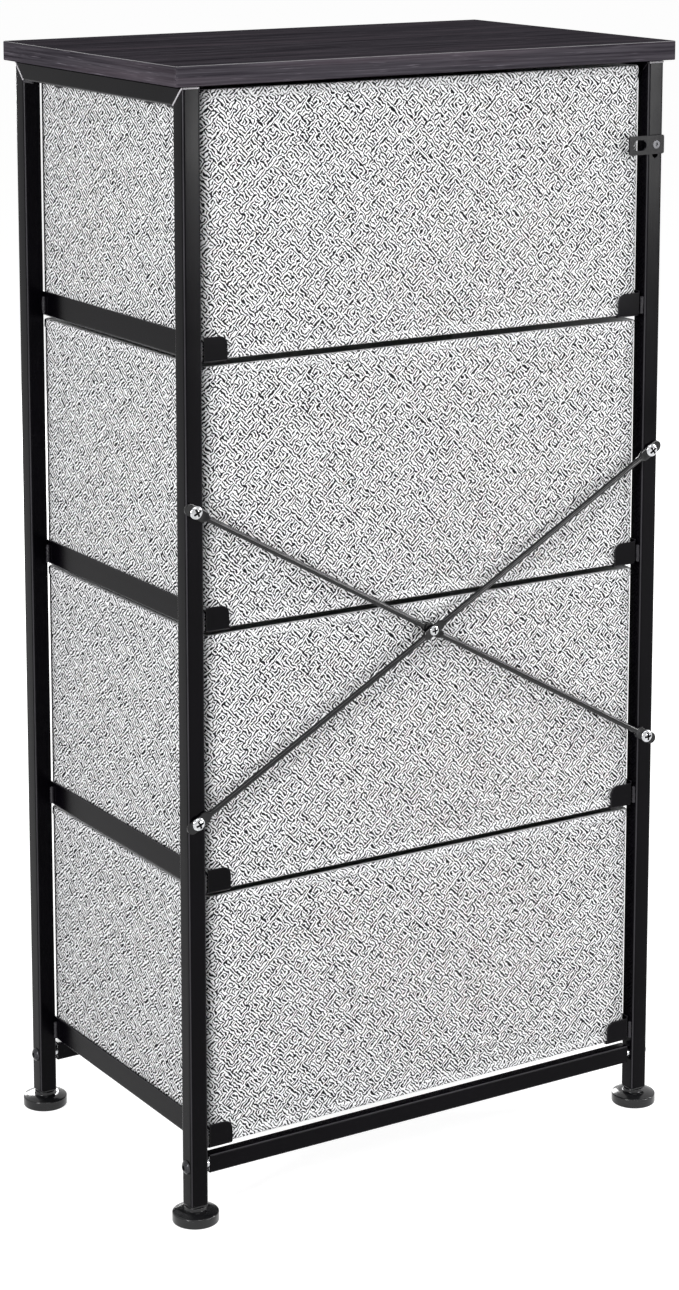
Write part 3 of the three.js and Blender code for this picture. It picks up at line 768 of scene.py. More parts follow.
def solids(tree, operation, others, first=None):
    """Joins solids, or cuts the others out of the first."""
    node = add_node(tree, "GeometryNodeMeshBoolean", operation=operation, solver="EXACT")
    if first is not None:
        tree.links.new(first, node.inputs["Mesh 1"])
    for other in others:
        tree.links.new(other, node.inputs["Mesh 2"])
    return node.outputs[0]


def lifted(tree, geometry, height):
    inputs = {"Geometry": geometry, "Translation": vector_of(tree, z=height)}
    return add_node(tree, "GeometryNodeTransform", inputs).outputs[0]


def bar_of(tree, facets, radius, length):
    inputs = {"Vertices": facets, "Radius": radius, "Depth": length}
    return add_node(tree, "GeometryNodeMeshCylinder", inputs).outputs["Mesh"]


def head_and_shank(tree, given):
    line = add_node(tree, "GeometryNodeCurvePrimitiveLine", {"End": (0, 0, 1)})
    stations = add_node(tree, "GeometryNodeResampleCurve", {"Curve": line.outputs[0], "Count": head_rings})
    share = add_node(tree, "GeometryNodeSplineParameter").outputs["Factor"]
    angle = times(tree, times(tree, share, dome_end), quarter)
    height = times(tree, math_node(tree, "SINE", angle), given["Head height"])
    shrink = math_node(tree, "POWER", math_node(tree, "COSINE", angle), given["Fullness"])
    standing = add_node(tree, "GeometryNodeSetPosition", {
        "Geometry": stations.outputs[0],
        "Position": vector_of(tree, z=height),
    })
    unit_circle = {"Resolution": head_round_steps, "Radius": 1.0}
    circle = add_node(tree, "GeometryNodeCurvePrimitiveCircle", unit_circle)
    domed = add_node(tree, "GeometryNodeCurveToMesh", {
        "Curve": standing.outputs[0],
        "Profile Curve": circle.outputs[0],
        "Scale": times(tree, times(tree, given["Head diameter"], 0.5), shrink),
        "Fill Caps": True,
    })
    length = given["Shank length"]
    shank = bar_of(tree, head_round_steps // 2, times(tree, given["Shank diameter"], 0.5), length)
    sunk = plus(tree, times(tree, length, -0.5), shank_lap)
    return solids(tree, "UNION", [domed.outputs[0], lifted(tree, shank, sunk)])


def recess_tool(tree, given):
    """The cross or the hexagon that is cut into the head, marked so that it can take its own material,
    which on the zinc is painted shade.
    """
    across, width = given["Recess across"], given["Recess width"]
    deep = times(tree, given["Recess depth"], 2.0)
    bars = []
    for x, y in ((across, width), (width, across)):
        bar = add_node(tree, "GeometryNodeMeshCube", {"Size": vector_of(tree, x, y, deep)})
        bars.append(bar.outputs["Mesh"])
    tool = add_node(tree, "GeometryNodeSwitch", {
        "Switch": given["Hexagon"],
        "False": solids(tree, "UNION", bars),
        "True": bar_of(tree, 6, times(tree, across, hexagon_corner), deep),
    }, input_type="GEOMETRY")
    marked = add_node(tree, "GeometryNodeStoreNamedAttribute", {
        "Geometry": tool.outputs[0],
        "Name": "recess",
        "Value": True,
    }, data_type="BOOLEAN", domain="FACE")
    return lifted(tree, marked.outputs[0], given["Head height"])


def driven_head_tree():
    tree, given = new_tree("driven_head", {
        "Head diameter": 10 * mm,
        "Head height": 2.5 * mm,
        "Fullness": 0.6,
        "Shank diameter": 4.8 * mm,
        "Shank length": 14 * mm,
        "Recess across": 5.6 * mm,
        "Recess width": 1.5 * mm,
        "Recess depth": 1.3 * mm,
        "Hexagon": False,
        "Turn": (0, 0, 0),
        "Seed": 3,
        "Material": None,
        "Recess shade material": None,
    })
    cut = solids(tree, "DIFFERENCE", [recess_tool(tree, given)], head_and_shank(tree, given))
    any_turn = {2: 0.0, 3: 2 * math.pi, "Seed": given["Seed"]}
    roll = add_node(tree, "FunctionNodeRandomValue", any_turn, data_type="FLOAT").outputs[1]
    rolled = add_node(tree, "FunctionNodeEulerToRotation", {0: vector_of(tree, z=roll)})
    facing = add_node(tree, "FunctionNodeEulerToRotation", {0: given["Turn"]})
    both = {0: facing.outputs[0], 1: rolled.outputs[0]}
    heads = add_node(tree, "GeometryNodeInstanceOnPoints", {
        "Points": given["Geometry"],
        "Instance": cut,
        "Rotation": add_node(tree, "FunctionNodeRotateRotation", both, rotation_space="LOCAL").outputs[0],
    })
    return close_tree(tree, heads.outputs[0], given["Material"], given["Recess shade material"])


driven_head = driven_head_tree()
print("driven head tree:", len(driven_head.nodes), "nodes")

# %% [markdown]
# ## Screws and bolts
#
# Each kind of fastener is one run of the tree, except the bolts, which take one run a side. A
# seat comes from the frame: the head's outer face is a side of the plain screw's box, and the
# seat lies one head height behind it. The bolts look sideways, the brace screws look backwards
# and the board screws look down.

# %% Place the fasteners
# Sizes are in millimetres, in the order of these inputs of the tree.
size_labels = (
    "Head diameter", "Head height", "Shank diameter", "Shank length",
    "Recess across", "Recess width", "Recess depth",
)
pan_sizes = (10.6, 2.5, 4.8, 14, 6.6, 1.7, 1.4)
middle_sizes = (8, 1.5, 4, 6.4, 5, 1.4, 0.8)
board_sizes = (8.4, 2.4, 4, 25.6, 4.4, 1.1, 1.1)
bolt_sizes = (11, 3.2, 6, 28, 4, 1, 1.9)
pan_fullness = 0.5
bolt_fullness = 0.62
backwards = ((0, 1, 0), (-quarter, 0.0, 0.0))
downwards = ((0, 0, -1), (math.pi, 0.0, 0.0))


def fasteners(name, nodes, direction, sizes, slot, metals, seed, fullness=pan_fullness, hexagon=False):
    """One kind of fastener. The direction is a unit vector, and the turn that brings +Z to it."""
    towards, turn = Vector(direction[0]), direction[1]
    values = {label: size * mm for label, size in zip(size_labels, sizes)}
    seats = []
    for node in nodes:
        low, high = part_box(node)
        reach = abs(towards.dot(high - low)) / 2
        seats.append((low + high) / 2 + towards * (reach - values["Head height"]))
    made = grow(name, mesh_object(name + "_seats", seats, []), driven_head, {
        **values,
        "Fullness": fullness,
        "Hexagon": hexagon,
        "Turn": turn,
        "Seed": seed,
        "Material": metals[0],
        "Recess shade material": metals[-1],
    })
    soften(made, corner=40)
    hand_over(made, "root", slot, [], *nodes)
    print(name, "faces:", len(made.data.polygons))


brace_screws = [f"brace_screw_{side}_{level}" for side, _ in sides for level in ("low", "high")]
board_screws = [f"board_screw_{corner}" for corner in corners]
zincs = [zinc, recess_painted_shade]
fasteners("brace_screws", brace_screws, backwards, pan_sizes, "zinc", zincs, seed=12)
fasteners(
    "brace_middle_screw_finished", ["brace_middle_screw"], backwards, middle_sizes, "zinc", zincs, seed=27,
)
fasteners("board_screws", board_screws, downwards, board_sizes, "bolt", [oxide], seed=12)
for (side, sign), seed in zip(sides, (15, 16)):
    bolts = [f"rail_bolt_{end}_{side}" for end, _ in ends]
    sideways = ((sign, 0, 0), (0.0, sign * quarter, 0.0))
    fasteners(
        f"rail_bolts_{side}", bolts, sideways, bolt_sizes, "bolt", [oxide], seed,
        fullness=bolt_fullness, hexagon=True,
    )

# %% [markdown]
# ## The brace rods
#
# A rod is round bar, pressed flat into an eye at each end and into a drilled flat in the middle.
# Rings along the bar follow that: each is a circle where the bar is round, and a squared oval
# where it is pressed, with a short, smooth change between. The rods bow away from each other,
# each by a little more than half a flat's thickness. The rings lie along x first, and a matrix
# then leans the rod.

# %% Where the rods run
def middle_of(node):
    low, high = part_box(node)
    return (low + high) / 2


low_eye = middle_of("brace_screw_right_low")
high_eye = middle_of("brace_screw_right_high")
half_climb = (high_eye.z - low_eye.z) / 2
cross_level = (low_eye.z + high_eye.z) / 2
rod_half = math.hypot(low_eye.x, half_climb)
rod_lean = math.atan2(half_climb, low_eye.x)
rod_plane = (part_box("brace_rod_inner")[0].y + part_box("brace_rod_outer")[1].y) / 2
print("rod from eye to eye:", round(2 * rod_half / mm, 1), "mm, leaning", round(math.degrees(rod_lean), 1))

# %% Rods
rod_round = 4.6 * mm
rod_flat = 1.8 * mm
rod_wide = 9.4 * mm
rod_eye_length = 8 * mm
rod_eye_reach = 10 * mm
rod_taper = 5 * mm
rod_middle_flat = 13 * mm
rod_middle_wide = 8 * mm
rod_bow = 1.05 * mm
eye_hole = 5.4 * mm
middle_hole = 4.6 * mm
flat_squareness = 0.72
rod_round_steps = 28
taper_steps = 7
eye_steps = 12
bow_steps = 14


def rod_stations():
    """Along one half of a rod: distance from the middle, width, and how flat it is."""
    def taper(start, full, first, last):
        for step in range(taper_steps + 1):
            share = step / taper_steps
            along = first + (last - first) * share
            flat = along * along * (3 - 2 * along)
            yield start + rod_taper * share, rod_round + (full - rod_round) * flat, flat

    bar_start = rod_middle_flat / 2 + rod_taper
    bar_end = rod_half - rod_eye_length - rod_taper
    tip_start = rod_half + rod_eye_reach - rod_wide / 2
    stations = [(0.0, rod_middle_wide, 1.0), *taper(rod_middle_flat / 2, rod_middle_wide, 1, 0)]
    for step in range(1, bow_steps):
        stations.append((bar_start + (bar_end - bar_start) * step / bow_steps, rod_round, 0.0))
    stations += taper(bar_end, rod_wide, 0, 1)
    for step in range(eye_steps):
        angle = step / eye_steps * quarter
        stations.append((tip_start + rod_wide / 2 * math.sin(angle), rod_wide * math.cos(angle), 1.0))
    return stations


def rod_ring(x, width, flat, bow):
    thick = rod_round + (rod_flat - rod_round) * flat
    power = 1 - flat_squareness * flat
    middle = bow * math.cos(quarter * min(abs(x), rod_half) / rod_half) ** 2
    ring = []
    for step in range(rod_round_steps):
        angle = (step + 0.5) / rod_round_steps * 2 * math.pi
        c, s = math.cos(angle), math.sin(angle)
        ring.append((
            x,
            middle + thick / 2 * math.copysign(abs(s) ** power, s),
            width / 2 * math.copysign(abs(c) ** power, c),
        ))
    return ring


def drill(obj, holes):
    """Cuts a hole along y at each (x, diameter) of the piece's own x axis."""
    angles = [2 * math.pi * step / rod_round_steps for step in range(rod_round_steps)]
    points, faces = [], []
    for x, diameter in holes:
        circle = [(x + diameter / 2 * math.cos(a), diameter / 2 * math.sin(a)) for a in angles]
        rings = [[(px, y, pz) for px, pz in circle] for y in (-rod_round, rod_round)]
        more_points, more_faces = skin(rings)
        faces += [tuple(len(points) + i for i in face) for face in more_faces]
        points += more_points
    tool = face_outwards(mesh_object("drill", points, faces))
    cutting = obj.modifiers.new("drill", "BOOLEAN")
    cutting.object = tool
    cutting.operation = "DIFFERENCE"
    cutting.solver = "EXACT"
    mesh = plain_mesh(obj)
    obj.modifiers.remove(cutting)
    obj.data = mesh
    bpy.data.objects.remove(tool)


def brace_rod(node, sign):
    """A rod whose sign says which way it bows and leans."""
    stations = rod_stations()
    mirrored = [(-x, width, flat) for x, width, flat in reversed(stations[1:])]
    rings = [rod_ring(*station, sign * rod_bow) for station in mirrored + stations]
    made = face_outwards(mesh_object(node + "_finished", *skin(rings)))
    drill(made, [(-rod_half, eye_hole), (0.0, middle_hole), (rod_half, eye_hole)])
    to_place = Matrix.Translation((0, rod_plane, cross_level))
    made.data.transform(to_place @ Matrix.Rotation(sign * rod_lean, 4, "Y"))
    soften(made, corner=42)
    hand_over(made, "root", "rod", [enamel], node)
    print(node, "faces:", len(made.data.polygons))


brace_rod("brace_rod_inner", -1)
brace_rod("brace_rod_outer", 1)

# %% [markdown]
# ## The levelling feet
#
# A foot is a polished pad with a rounded rim, a shallow dome, a neck and a stem that goes up into
# the post. The stem's thread is hidden, and isn't drawn. All the rest is round, so revolving an
# outline makes it. The outline is finer than the frame's, so that the rim draws one clean arc of
# light.

# %% Feet
foot_radius = 18 * mm
foot_rim = 8 * mm
foot_edge = 1.1 * mm
foot_dome = 1.8 * mm
neck_radius = 8.5 * mm
neck_top = 12.5 * mm
neck_fillet = 0.8 * mm
neck_edge = 0.4 * mm
stem_radius = 3 * mm
stem_top = 32.5 * mm
rim_turn = 70
rim_steps = 6
dome_steps = 10
neck_steps = 3
fillet_share = 0.3
foot_turn_steps = 96


def arc_points(x, z, radius, start, end, steps):
    angles = [math.radians(start + (end - start) * step / steps) for step in range(steps + 1)]
    return [(x + radius * math.cos(angle), z + radius * math.sin(angle)) for angle in angles]


def foot_outline():
    """The foot's half section as (radius, height), from the floor up."""
    edge = foot_radius - foot_edge
    dome_run = edge - neck_radius - neck_fillet
    dome_top = foot_rim + foot_dome
    outline = [(0.0, 0.0), (edge - foot_edge, 0.0)]
    outline += arc_points(edge, foot_edge, foot_edge, -90, 0, rim_steps)
    outline += arc_points(edge, foot_rim - foot_edge, foot_edge, 0, rim_turn, rim_steps)
    for share in [step / dome_steps for step in range(1, dome_steps + 1)]:
        outline.append((edge - dome_run * share, foot_rim + foot_dome * math.sin(share * quarter)))
    outline.append((neck_radius + neck_fillet * fillet_share, dome_top + neck_fillet * fillet_share))
    outline.append((neck_radius, dome_top + neck_fillet))
    outline += arc_points(neck_radius - neck_edge, neck_top - neck_edge, neck_edge, 0, 90, neck_steps)
    return outline + [(stem_radius, neck_top), (stem_radius, stem_top), (0.0, stem_top)]


def revolve(name, outline, centre, steps):
    """Turns an outline of (radius, height) round a standing axis through centre."""
    turns = [2 * math.pi * step / steps for step in range(steps)]
    points, faces, rings = [], [], []
    for radius, height in outline:
        start = len(points)
        for turn in turns if radius else turns[:1]:
            x, y = centre.x + radius * math.cos(turn), centre.y + radius * math.sin(turn)
            points.append((x, y, height))
        rings.append(range(start, len(points)))
    for lower, upper in zip(rings, rings[1:]):
        for i in range(steps):
            places = [(lower, i), (lower, (i + 1) % steps), (upper, (i + 1) % steps), (upper, i)]
            faces.append(tuple(dict.fromkeys(ring[place % len(ring)] for ring, place in places)))
    return face_outwards(mesh_object(name, points, faces))


for corner in corners:
    node = f"foot_{corner}"
    pad = revolve(node + "_finished", foot_outline(), middle_of(node), foot_turn_steps)
    soften(pad, corner=32)
    hand_over(pad, f"levelling_foot_{corner}", "plastic", [plastic], node)
print("feet:", len(corners), "with", len(foot_outline()), "points in the outline")

# %% [markdown]
# ## Weld beads and ground seams
#
# The angle rails are welded to the posts with one short bead in front and two behind, and each
# mitred corner has two beads underneath, one across the rail and one along it. A weld bead is a
# row of overlapping frozen drops, so a tree lays a flattened drop at every step of a carrier
# line, each a little different, from a fixed seed. The beads are coated with the frame, and take
# the paler shade of its corners, a painted highlight. The mitres' outer faces are ground flat, and
# a fine near-white line, a painted highlight, runs along each mitre on the side, and one across the
# top of each post's front or rear face. These are rows of the same drops, set closely and sunk
# until they just show.

# %% A row of small things along a line
def row_along_lines(tree, given, item, smallest, largest):
    """Sets the item at every step of the carrier's lines, each copy a little different."""
    path = add_node(tree, "GeometryNodeMeshToCurve", {"Mesh": given["Geometry"]})
    spaced = {"Curve": path.outputs[0], "Length": given["Step"]}
    stations = add_node(tree, "GeometryNodeResampleCurve", spaced, mode="LENGTH")
    tangent = add_node(tree, "GeometryNodeInputTangent")
    along = add_node(tree, "FunctionNodeAlignRotationToVector", {"Vector": tangent.outputs[0]}, axis="X")
    between = {0: smallest, 1: largest, "Seed": given["Seed"]}
    row = add_node(tree, "GeometryNodeInstanceOnPoints", {
        "Points": stations.outputs[0],
        "Instance": item,
        "Rotation": along.outputs[0],
        "Scale": add_node(tree, "FunctionNodeRandomValue", between, data_type="FLOAT_VECTOR").outputs[0],
    })
    smooth = add_node(tree, "GeometryNodeSetShadeSmooth", {0: row.outputs[0]})
    return close_tree(tree, smooth.outputs[0], given["Material"])


def weld_tree():
    tree, given = new_tree("weld_bead", {"Width": 3 * mm, "Step": 0.9 * mm, "Seed": 11, "Material": None})
    drop = add_node(tree, "GeometryNodeMeshIcoSphere", {
        "Radius": times(tree, given["Width"], 0.5),
        "Subdivisions": 3,
    })
    return row_along_lines(tree, given, drop.outputs["Mesh"], (0.62, 0.75, 0.75), (0.78, 1.05, 1.05))


weld_bead = weld_tree()
print("weld tree:", len(weld_bead.nodes), "nodes")

# %% Beads and seams
weld_width = 3.6 * mm
weld_step = 1.1 * mm
weld_seed = 11
rail_weld_low = 3 * mm
rail_weld_high = 15 * mm
rail_weld_out = 0.9 * mm
weld_in = 0.2 * mm
mitre_weld_half = 5.5 * mm
mitre_weld_run = 10 * mm
mitre_weld_inset = 2.4 * mm
seam_width = 1.6 * mm
seam_step = 0.35 * mm
seam_sunk = 0.25 * mm
seam_end = 1 * mm
top_seam_end = 1.5 * mm
top_seam_drop = 1.2 * mm


def corner_lines(side, sign, end, way):
    """The beads and the ground seams at one post: two lists of pairs of points."""
    post_low, post_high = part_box(f"{end}_post_{side}")
    rail_low, rail_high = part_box(f"top_rail_{side}")
    inner_y, outer_y = (post_low.y, post_high.y) if way > 0 else (post_high.y, post_low.y)
    outer_x = post_high.x if sign > 0 else post_low.x
    beads = []
    for level in drawer_levels:
        low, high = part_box(f"angle_rail_{side}_{level}")
        x = high.x if sign > 0 else low.x
        feet = [(x + sign * rail_weld_out, inner_y - way * weld_in)]
        if way > 0:
            feet.append((x, high.y))
        beads += [((*foot, low.z + rail_weld_low), (*foot, low.z + rail_weld_high)) for foot in feet]
    middle_x = (post_low.x + post_high.x) / 2
    near_y = inner_y - way * weld_in
    beads.append((
        (middle_x - mitre_weld_half, near_y, rail_low.z),
        (middle_x + mitre_weld_half, near_y, rail_low.z),
    ))
    bead_x = outer_x - sign * mitre_weld_inset
    beads.append(((bead_x, inner_y, rail_low.z), (bead_x, inner_y - way * mitre_weld_run, rail_low.z)))
    face_x = outer_x - sign * seam_sunk
    face_y = outer_y - way * seam_sunk
    top_z = rail_high.z - top_seam_drop
    seams = [
        ((face_x, outer_y - way * seam_end, rail_high.z - seam_end),
         (face_x, inner_y + way * seam_end, rail_low.z + seam_end)),
        ((post_low.x + top_seam_end, face_y, top_z), (post_high.x - top_seam_end, face_y, top_z)),
    ]
    return beads, seams


def lay_beads(name, lines, width, step, material):
    points = [point for line in lines for point in line]
    carrier = mesh_object(name + "_lines", points, [], [(2 * i, 2 * i + 1) for i in range(len(lines))])
    made = grow(name, carrier, weld_bead, {
        "Width": width,
        "Step": step,
        "Seed": weld_seed,
        "Material": material,
    })
    hand_over(made, "root", "frame", [])
    print(name, len(lines), "lines,", len(made.data.polygons), "faces")


bead_lines, seam_lines = [], []
for side, sign in sides:
    for end, way in ends:
        beads, seams = corner_lines(side, sign, end, way)
        bead_lines += beads
        seam_lines += seams
# The beads are in the paler corner shade and the seams in near-white: both are painted highlights.
lay_beads("weld_beads", bead_lines, weld_width, weld_step, steel_corner_highlight)
lay_beads("mitre_seam_highlights", seam_lines, seam_width, seam_step, seam_painted_highlight)

# %% [markdown]
# ## The drawers
#
# A drawer is one sewn shell: cloth over stiff boards, with a hem turned over the rim and another
# round the foot, and a plain lining. It is drawn as one closed skin that runs from the underside,
# up the outer wall, over the rim, down the inside and across the floor. Each station of that
# profile says how far the cloth stands out and how high it is. The walls bulge by a few tenths
# of a millimetre, and a low noise keeps them from being perfectly flat.

# %% Profile of the drawer's wall
hem = 7 * mm
hem_proud = 0.7 * mm
hem_end = hem + 1.4 * mm
wall = 4 * mm
floor_up = 3 * mm
wall_rows = 10
hem_rows = 7
bulge_power = 0.6


def drawer_profile(height):
    """Stations (out, up, softness): how far out of the wall, how high, and how much it bulges."""
    lower = [
        (-7.0 * mm, 0.0, 0), (-1.2 * mm, 0.0, 0), (-0.2 * mm, 0.15 * mm, 0), (0.45 * mm, 0.6 * mm, 0),
        (hem_proud, 1.3 * mm, 0), (hem_proud, hem - 1.2 * mm, 0), (0.5 * mm, hem - 0.5 * mm, 0),
        (-0.12 * mm, hem, 0), (-0.1 * mm, hem + 0.6 * mm, 0.05), (0.0, hem_end, 0.1),
    ]
    span = height - 2 * hem_end
    walls = []
    for share in [row / wall_rows for row in range(1, wall_rows)]:
        walls.append((0.0, hem_end + span * share, math.sin(math.pi * share) ** bulge_power))
    upper = [(out, height - up, soft) for out, up, soft in reversed(lower[4:])]
    rim = [(0.4 * mm, height - 0.5 * mm, 0), (-0.3 * mm, height - 0.1 * mm, 0), (-1.0 * mm, height, 0)]
    inner = [
        (-wall + 1.0 * mm, height, 0), (-wall + 0.3 * mm, height - 0.15 * mm, 0),
        (-wall, height - 0.8 * mm, 0), (-wall, height - 12 * mm, 0), (-wall, height / 2, 0),
        (-wall, floor_up + 6 * mm, 0), (-wall, floor_up + 0.8 * mm, 0),
        (-wall - 0.4 * mm, floor_up + 0.15 * mm, 0), (-wall - 4 * mm, floor_up, 0),
    ]
    return lower + walls + upper + rim, inner


# %% [markdown]
# ## The drawer's skin and its cloth map
#
# The profile is carried round a rounded rectangle. The bulge is largest in the middle of a wall
# and dies away at its corners, where the boards meet. The cloth's UV map runs round the drawer
# and up the profile, in metres, so the print has its true size in front and behind. On the side
# walls it is drawn out by a quarter along the wall, as the picture shows it.

# %% Drawer shell
wall_corner = 6 * mm
least_corner = 0.6 * mm
wall_bulge = 0.35 * mm
wall_wander = 0.22 * mm
wander_grain = 14
side_print = 0.8
on_wall = 0.001 * mm
ring_steps = (30, 20, 7)
inner_cloth, hem_band = 1, 2


def unit_outward(ring):
    """Which way each point of a ring is pushed when the cloth bulges: straight out of its wall."""
    half_x = max(x for x, _ in ring)
    half_y = max(y for _, y in ring)
    pushes = []
    for x, y in ring:
        share_x = 1 - (y / half_y) ** 2 if abs(x) > half_x - on_wall else 0
        share_y = 1 - (x / half_x) ** 2 if abs(y) > half_y - on_wall else 0
        pushes.append((math.copysign(share_x, x), math.copysign(share_y, y)))
    return pushes


def lay_cloth(made, outline, profile):
    """Gives the shell a UV map in metres: round the drawer, and up the profile."""
    count = len(outline)
    around = [0.0]
    for (ax, ay), (bx, by) in zip(outline, outline[1:] + outline[:1]):
        around.append(around[-1] + math.hypot(bx - ax, (by - ay) * side_print))
    upward = [0.0]
    for (out_a, up_a, _), (out_b, up_b, _) in zip(profile, profile[1:]):
        upward.append(upward[-1] + math.hypot(out_b - out_a, up_b - up_a))
    layer = made.data.uv_layers.new(name="cloth")
    walls = count * (len(profile) - 1)
    for face in made.data.polygons:
        for place, loop in enumerate(face.loop_indices):
            vertex = made.data.loops[loop].vertex_index
            if face.index < walls:
                column = face.index % count + (1 if place in (1, 2) else 0)
                layer.data[loop].uv = (around[column], upward[vertex // count])
            else:
                layer.data[loop].uv = made.data.vertices[vertex].co.xy


def shell_mesh(name, low, high):
    half_x = (high.x - low.x) / 2 - hem_proud
    half_y = (high.y - low.y) / 2 - hem_proud
    centre = (low + high) / 2
    outside, inside = drawer_profile(high.z - low.z)
    outline = rounded_outline(half_x, half_y, wall_corner, *ring_steps)
    pushes = unit_outward(outline)
    rings = []
    for out, up, soft in outside + inside:
        radius = max(wall_corner + out, least_corner)
        ring = rounded_outline(half_x + out, half_y + out, radius, *ring_steps)
        rings.append([])
        for (x, y), (px, py) in zip(ring, pushes):
            spot = Vector((x + centre.x, y + centre.y, up + low.z))
            push = soft * (wall_bulge + wall_wander * noise.noise(spot * wander_grain))
            rings[-1].append(spot + Vector((px * push, py * push, 0)))
    made = mesh_object(name, *skin(rings))
    lay_cloth(made, outline, outside + inside)
    for face in made.data.polygons[:-2]:
        row = face.index // len(outline)
        if row >= len(outside) - 1:
            face.material_index = inner_cloth
        elif row < hem_rows or row >= len(outside) - hem_rows:
            face.material_index = hem_band
    made.data.polygons[-1].material_index = inner_cloth
    return made


# %% [markdown]
# ## Stitches
#
# The hems are held by a row of stitches, and the pull strap by a boxed cross at each end. Each
# stitch is a short plump thread, and the row that laid the weld's drops sets one at every step
# of a carrier line. The carrier is a closed loop round the drawer, or a short line on the strap.

# %% Stitch tree
def stitch_tree():
    tree, given = new_tree("row_of_stitches", {
        "Step": 3.8 * mm,
        "Stitch length": 3 * mm,
        "Thread": 0.5 * mm,
        "Seed": 5,
        "Material": None,
    })
    bead = add_node(tree, "GeometryNodeMeshUVSphere", {"Segments": 6, "Rings": 4, "Radius": 0.5})
    stitch = add_node(tree, "GeometryNodeTransform", {
        "Geometry": bead.outputs["Mesh"],
        "Scale": vector_of(tree, given["Stitch length"], given["Thread"], given["Thread"]),
    })
    return row_along_lines(tree, given, stitch.outputs[0], (0.86, 0.9, 0.9), (1.06, 1.1, 1.1))


stitching = stitch_tree()
print("stitch tree:", len(stitching.nodes), "nodes")

# %% [markdown]
# ## The pull strap
#
# The strap is a flat band, sewn down at both ends and standing off the cloth between them, so
# that fingers fit behind it. It isn't in the picture, because the picture shows the back. Such
# drawers have one, and this is the plainest kind. A rounded section is carried along the band's
# path, which eases from the sewn end up to the standing part.

# %% Pull strap
strap_sewn = 16 * mm
strap_rise = 26 * mm
strap_reach = 10 * mm
strap_thick = 1.6 * mm
strap_edge = 0.6 * mm
strap_section_steps = (1, 8, 4)
rise_steps = 16
box_inset = 2.5 * mm
thread_proud = 0.05 * mm


def strap_path(half):
    """Points (x, out) along the middle of the band."""
    start = half - strap_sewn
    run = [(-half, 0.0), (-half + strap_sewn / 2, 0.0)]
    for share in [step / rise_steps for step in range(rise_steps + 1)]:
        run.append((-start + strap_rise * share, strap_reach * (1 - math.cos(math.pi * share)) / 2))
    return run + [(-x, out) for x, out in reversed(run)]


def pull_strap(name, low, high, body, node):
    half = (high - low) / 2
    middle = (low + high) / 2
    section = rounded_outline(strap_thick / 2, half.z, strap_edge, *strap_section_steps)
    rings = []
    for x, out in strap_path(half.x):
        y = high.y - strap_thick / 2 - out
        rings.append([(middle.x + x, y + across, middle.z + up) for across, up in section])
    made = face_outwards(mesh_object(name, *skin(rings)))
    layer = made.data.uv_layers.new(name="band")
    for loop in made.data.loops:
        layer.data[loop.index].uv = made.data.vertices[loop.vertex_index].co.xz
    soften(made, corner=35)
    hand_over(made, body, "strap", [webbing], node)


def strap_stitch_lines(low, high):
    """A box with a cross on each sewn end of the strap."""
    y = high.y - strap_thick - thread_proud
    bottom, top = low.z + box_inset, high.z - box_inset
    lines = []
    for edge, inwards in ((low.x, 1), (high.x, -1)):
        outer = edge + inwards * box_inset
        inner = edge + inwards * (strap_sewn - box_inset)
        box = [(outer, y, bottom), (inner, y, bottom), (inner, y, top), (outer, y, top)]
        lines += zip(box, box[1:] + box[:1])
        lines += [(box[0], box[2]), (box[1], box[3])]
    return lines


# %% Assemble the four drawers
stitch_step = 3.6 * mm
stitch_length = 3.1 * mm
stitch_thread = 0.5 * mm
stitch_inset = 1.6 * mm
loose_board_edge = 0.5 * mm


def stitches(level, low, high, strap_low, strap_high):
    half = (high - low) / 2
    centre = (low + high) / 2
    corner = wall_corner + hem_proud + thread_proud
    ring = rounded_outline(half.x + thread_proud, half.y + thread_proud, corner, *ring_steps)
    points, edges = [], []
    for z in (low.z + hem - stitch_inset, high.z - hem + stitch_inset):
        first = len(points)
        points += [(x + centre.x, y + centre.y, z) for x, y in ring]
        edges += [(first + i, first + (i + 1) % len(ring)) for i in range(len(ring))]
    for line in strap_stitch_lines(strap_low, strap_high):
        edges.append((len(points), len(points) + 1))
        points += line
    carrier = mesh_object(f"drawer_{level}_stitch_lines", points, [], edges)
    made = grow(f"drawer_{level}_stitches", carrier, stitching, {
        "Step": stitch_step,
        "Stitch length": stitch_length,
        "Thread": stitch_thread,
        "Seed": level,
        "Material": thread,
    })
    return hand_over(made, f"drawer_{level}", "fabric", [])


for level in drawer_levels:
    body = f"drawer_{level}"
    low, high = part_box(f"{body}_box")
    shell = shell_mesh(f"{body}_cloth", low, high)
    soften(shell, corner=50)
    hand_over(shell, body, "fabric", [drawer_cloth, lining, hem_cloth], f"{body}_box")
    refined(f"{body}_base_board", body, "panel", [fibreboard], loose_board_edge)
    strap_low, strap_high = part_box(f"{body}_pull_strap")
    pull_strap(f"{body}_strap", strap_low, strap_high, body, f"{body}_pull_strap")
    sewn = stitches(level, low, high, strap_low, strap_high)
    print(body, "cloth faces:", len(shell.data.polygons), "stitch faces:", len(sewn.data.polygons))

# %% [markdown]
# ## Floor and background
#
# The picture has a pure white ground. To light a floor until it is white would wash out the
# chest. So the floor is a grey that keeps the chest's soft shadow, and glows only for the camera
# and for shiny surfaces. The world does the same: it gives a weak, even light, and is white where
# it is seen.

# %% Floor and world
world_level = 0.2
floor_white = 0.88
floor_grey = (0.5, 0.5, 0.5, 1)
white = (1, 1, 1, 1)
floor_size = 40
floor_drop = 0.2 * mm


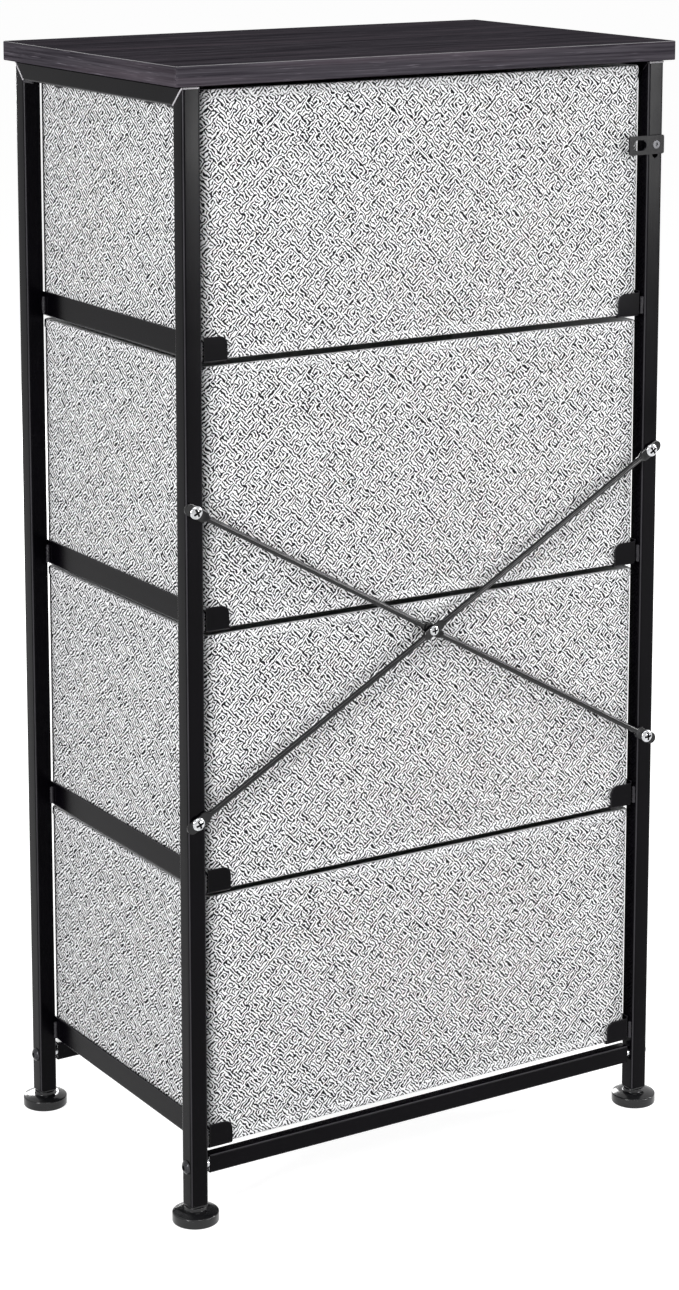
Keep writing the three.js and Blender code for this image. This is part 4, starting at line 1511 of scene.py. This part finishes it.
def seen_directly(tree):
    """1 for what the camera, a mirror or a glass sees, and 0 for what only lights the chest."""
    path = add_node(tree, "ShaderNodeLightPath")
    shiny = math_node(tree, "MAXIMUM", path.outputs["Is Glossy Ray"], path.outputs["Is Transmission Ray"])
    return math_node(tree, "MAXIMUM", path.outputs["Is Camera Ray"], shiny)


def empty_tree(owner):
    owner.use_nodes = True
    owner.node_tree.nodes.clear()
    return owner.node_tree


def ground():
    around = ((-1, -1), (1, -1), (1, 1), (-1, 1))
    points = [(x * floor_size, y * floor_size, -floor_drop) for x, y in around]
    floor = mesh_object("floor", points, [(0, 1, 2, 3)])
    material = bpy.data.materials.new("pale_floor")
    tree = empty_tree(material)
    matt = add_node(tree, "ShaderNodeBsdfDiffuse", {"Color": floor_grey})
    glow = add_node(tree, "ShaderNodeEmission", {
        "Color": white,
        "Strength": times(tree, seen_directly(tree), floor_white),
    })
    both = add_node(tree, "ShaderNodeAddShader", {0: matt.outputs[0], 1: glow.outputs[0]})
    add_node(tree, "ShaderNodeOutputMaterial", {"Surface": both.outputs[0]})
    floor.data.materials.append(material)


def surroundings():
    world = bpy.data.worlds.new("studio")
    bpy.context.scene.world = world
    tree = empty_tree(world)
    levels = {"Factor": seen_directly(tree), 2: world_level, 3: 1.0}
    level = add_node(tree, "ShaderNodeMix", levels, data_type="FLOAT").outputs[0]
    back = add_node(tree, "ShaderNodeBackground", {"Color": white, "Strength": level})
    add_node(tree, "ShaderNodeOutputWorld", {"Surface": back.outputs[0]})


ground()
surroundings()
print("the world lights the chest at", world_level, "of white")

# %% [markdown]
# ## Lamps
#
# Five soft lamps look at the middle of the chest. A slim one, above and behind, lights the back
# and the board, and a slim one on the left draws thin lines on the steel. A broader one at the
# right lights the right side. A low one behind, on the left, is mirrored in the upper part of
# the rear posts, which grow darker towards the floor. The last one stands in front, so that the
# drawers' fronts are about as bright as their backs.

# %% Lamps
# Each lamp has its place, its width and length in metres, and its power in watts.
lamps = {
    "lamp_above": ((0.25, 1.95, 2.8), (1.5, 0.2), 20),
    "lamp_left": ((-2.7, 0.95, 1.5), (0.2, 1.5), 42),
    "lamp_rear_right": ((2.6, 1.1, 1.25), (0.5, 0.9), 62),
    "low_rear_left": ((-1.55, 2.45, 0.6), (1.2, 0.25), 29),
    "lamp_front": ((-0.9, -2.9, 1.1), (1.2, 1.2), 70),
}


def soft_lamp(name, place, size, power):
    data = bpy.data.lights.new(name, "AREA")
    data.shape = "RECTANGLE"
    data.size, data.size_y = size
    data.energy = power
    lamp = in_scene(name, data)
    lamp.location = place
    target = (cad_low + cad_high) / 2
    lamp.rotation_euler = (target - Vector(place)).to_track_quat("-Z", "Y").to_euler()


for name, (place, size, power) in lamps.items():
    soft_lamp(name, place, size, power)
print("lamps:", len(lamps))
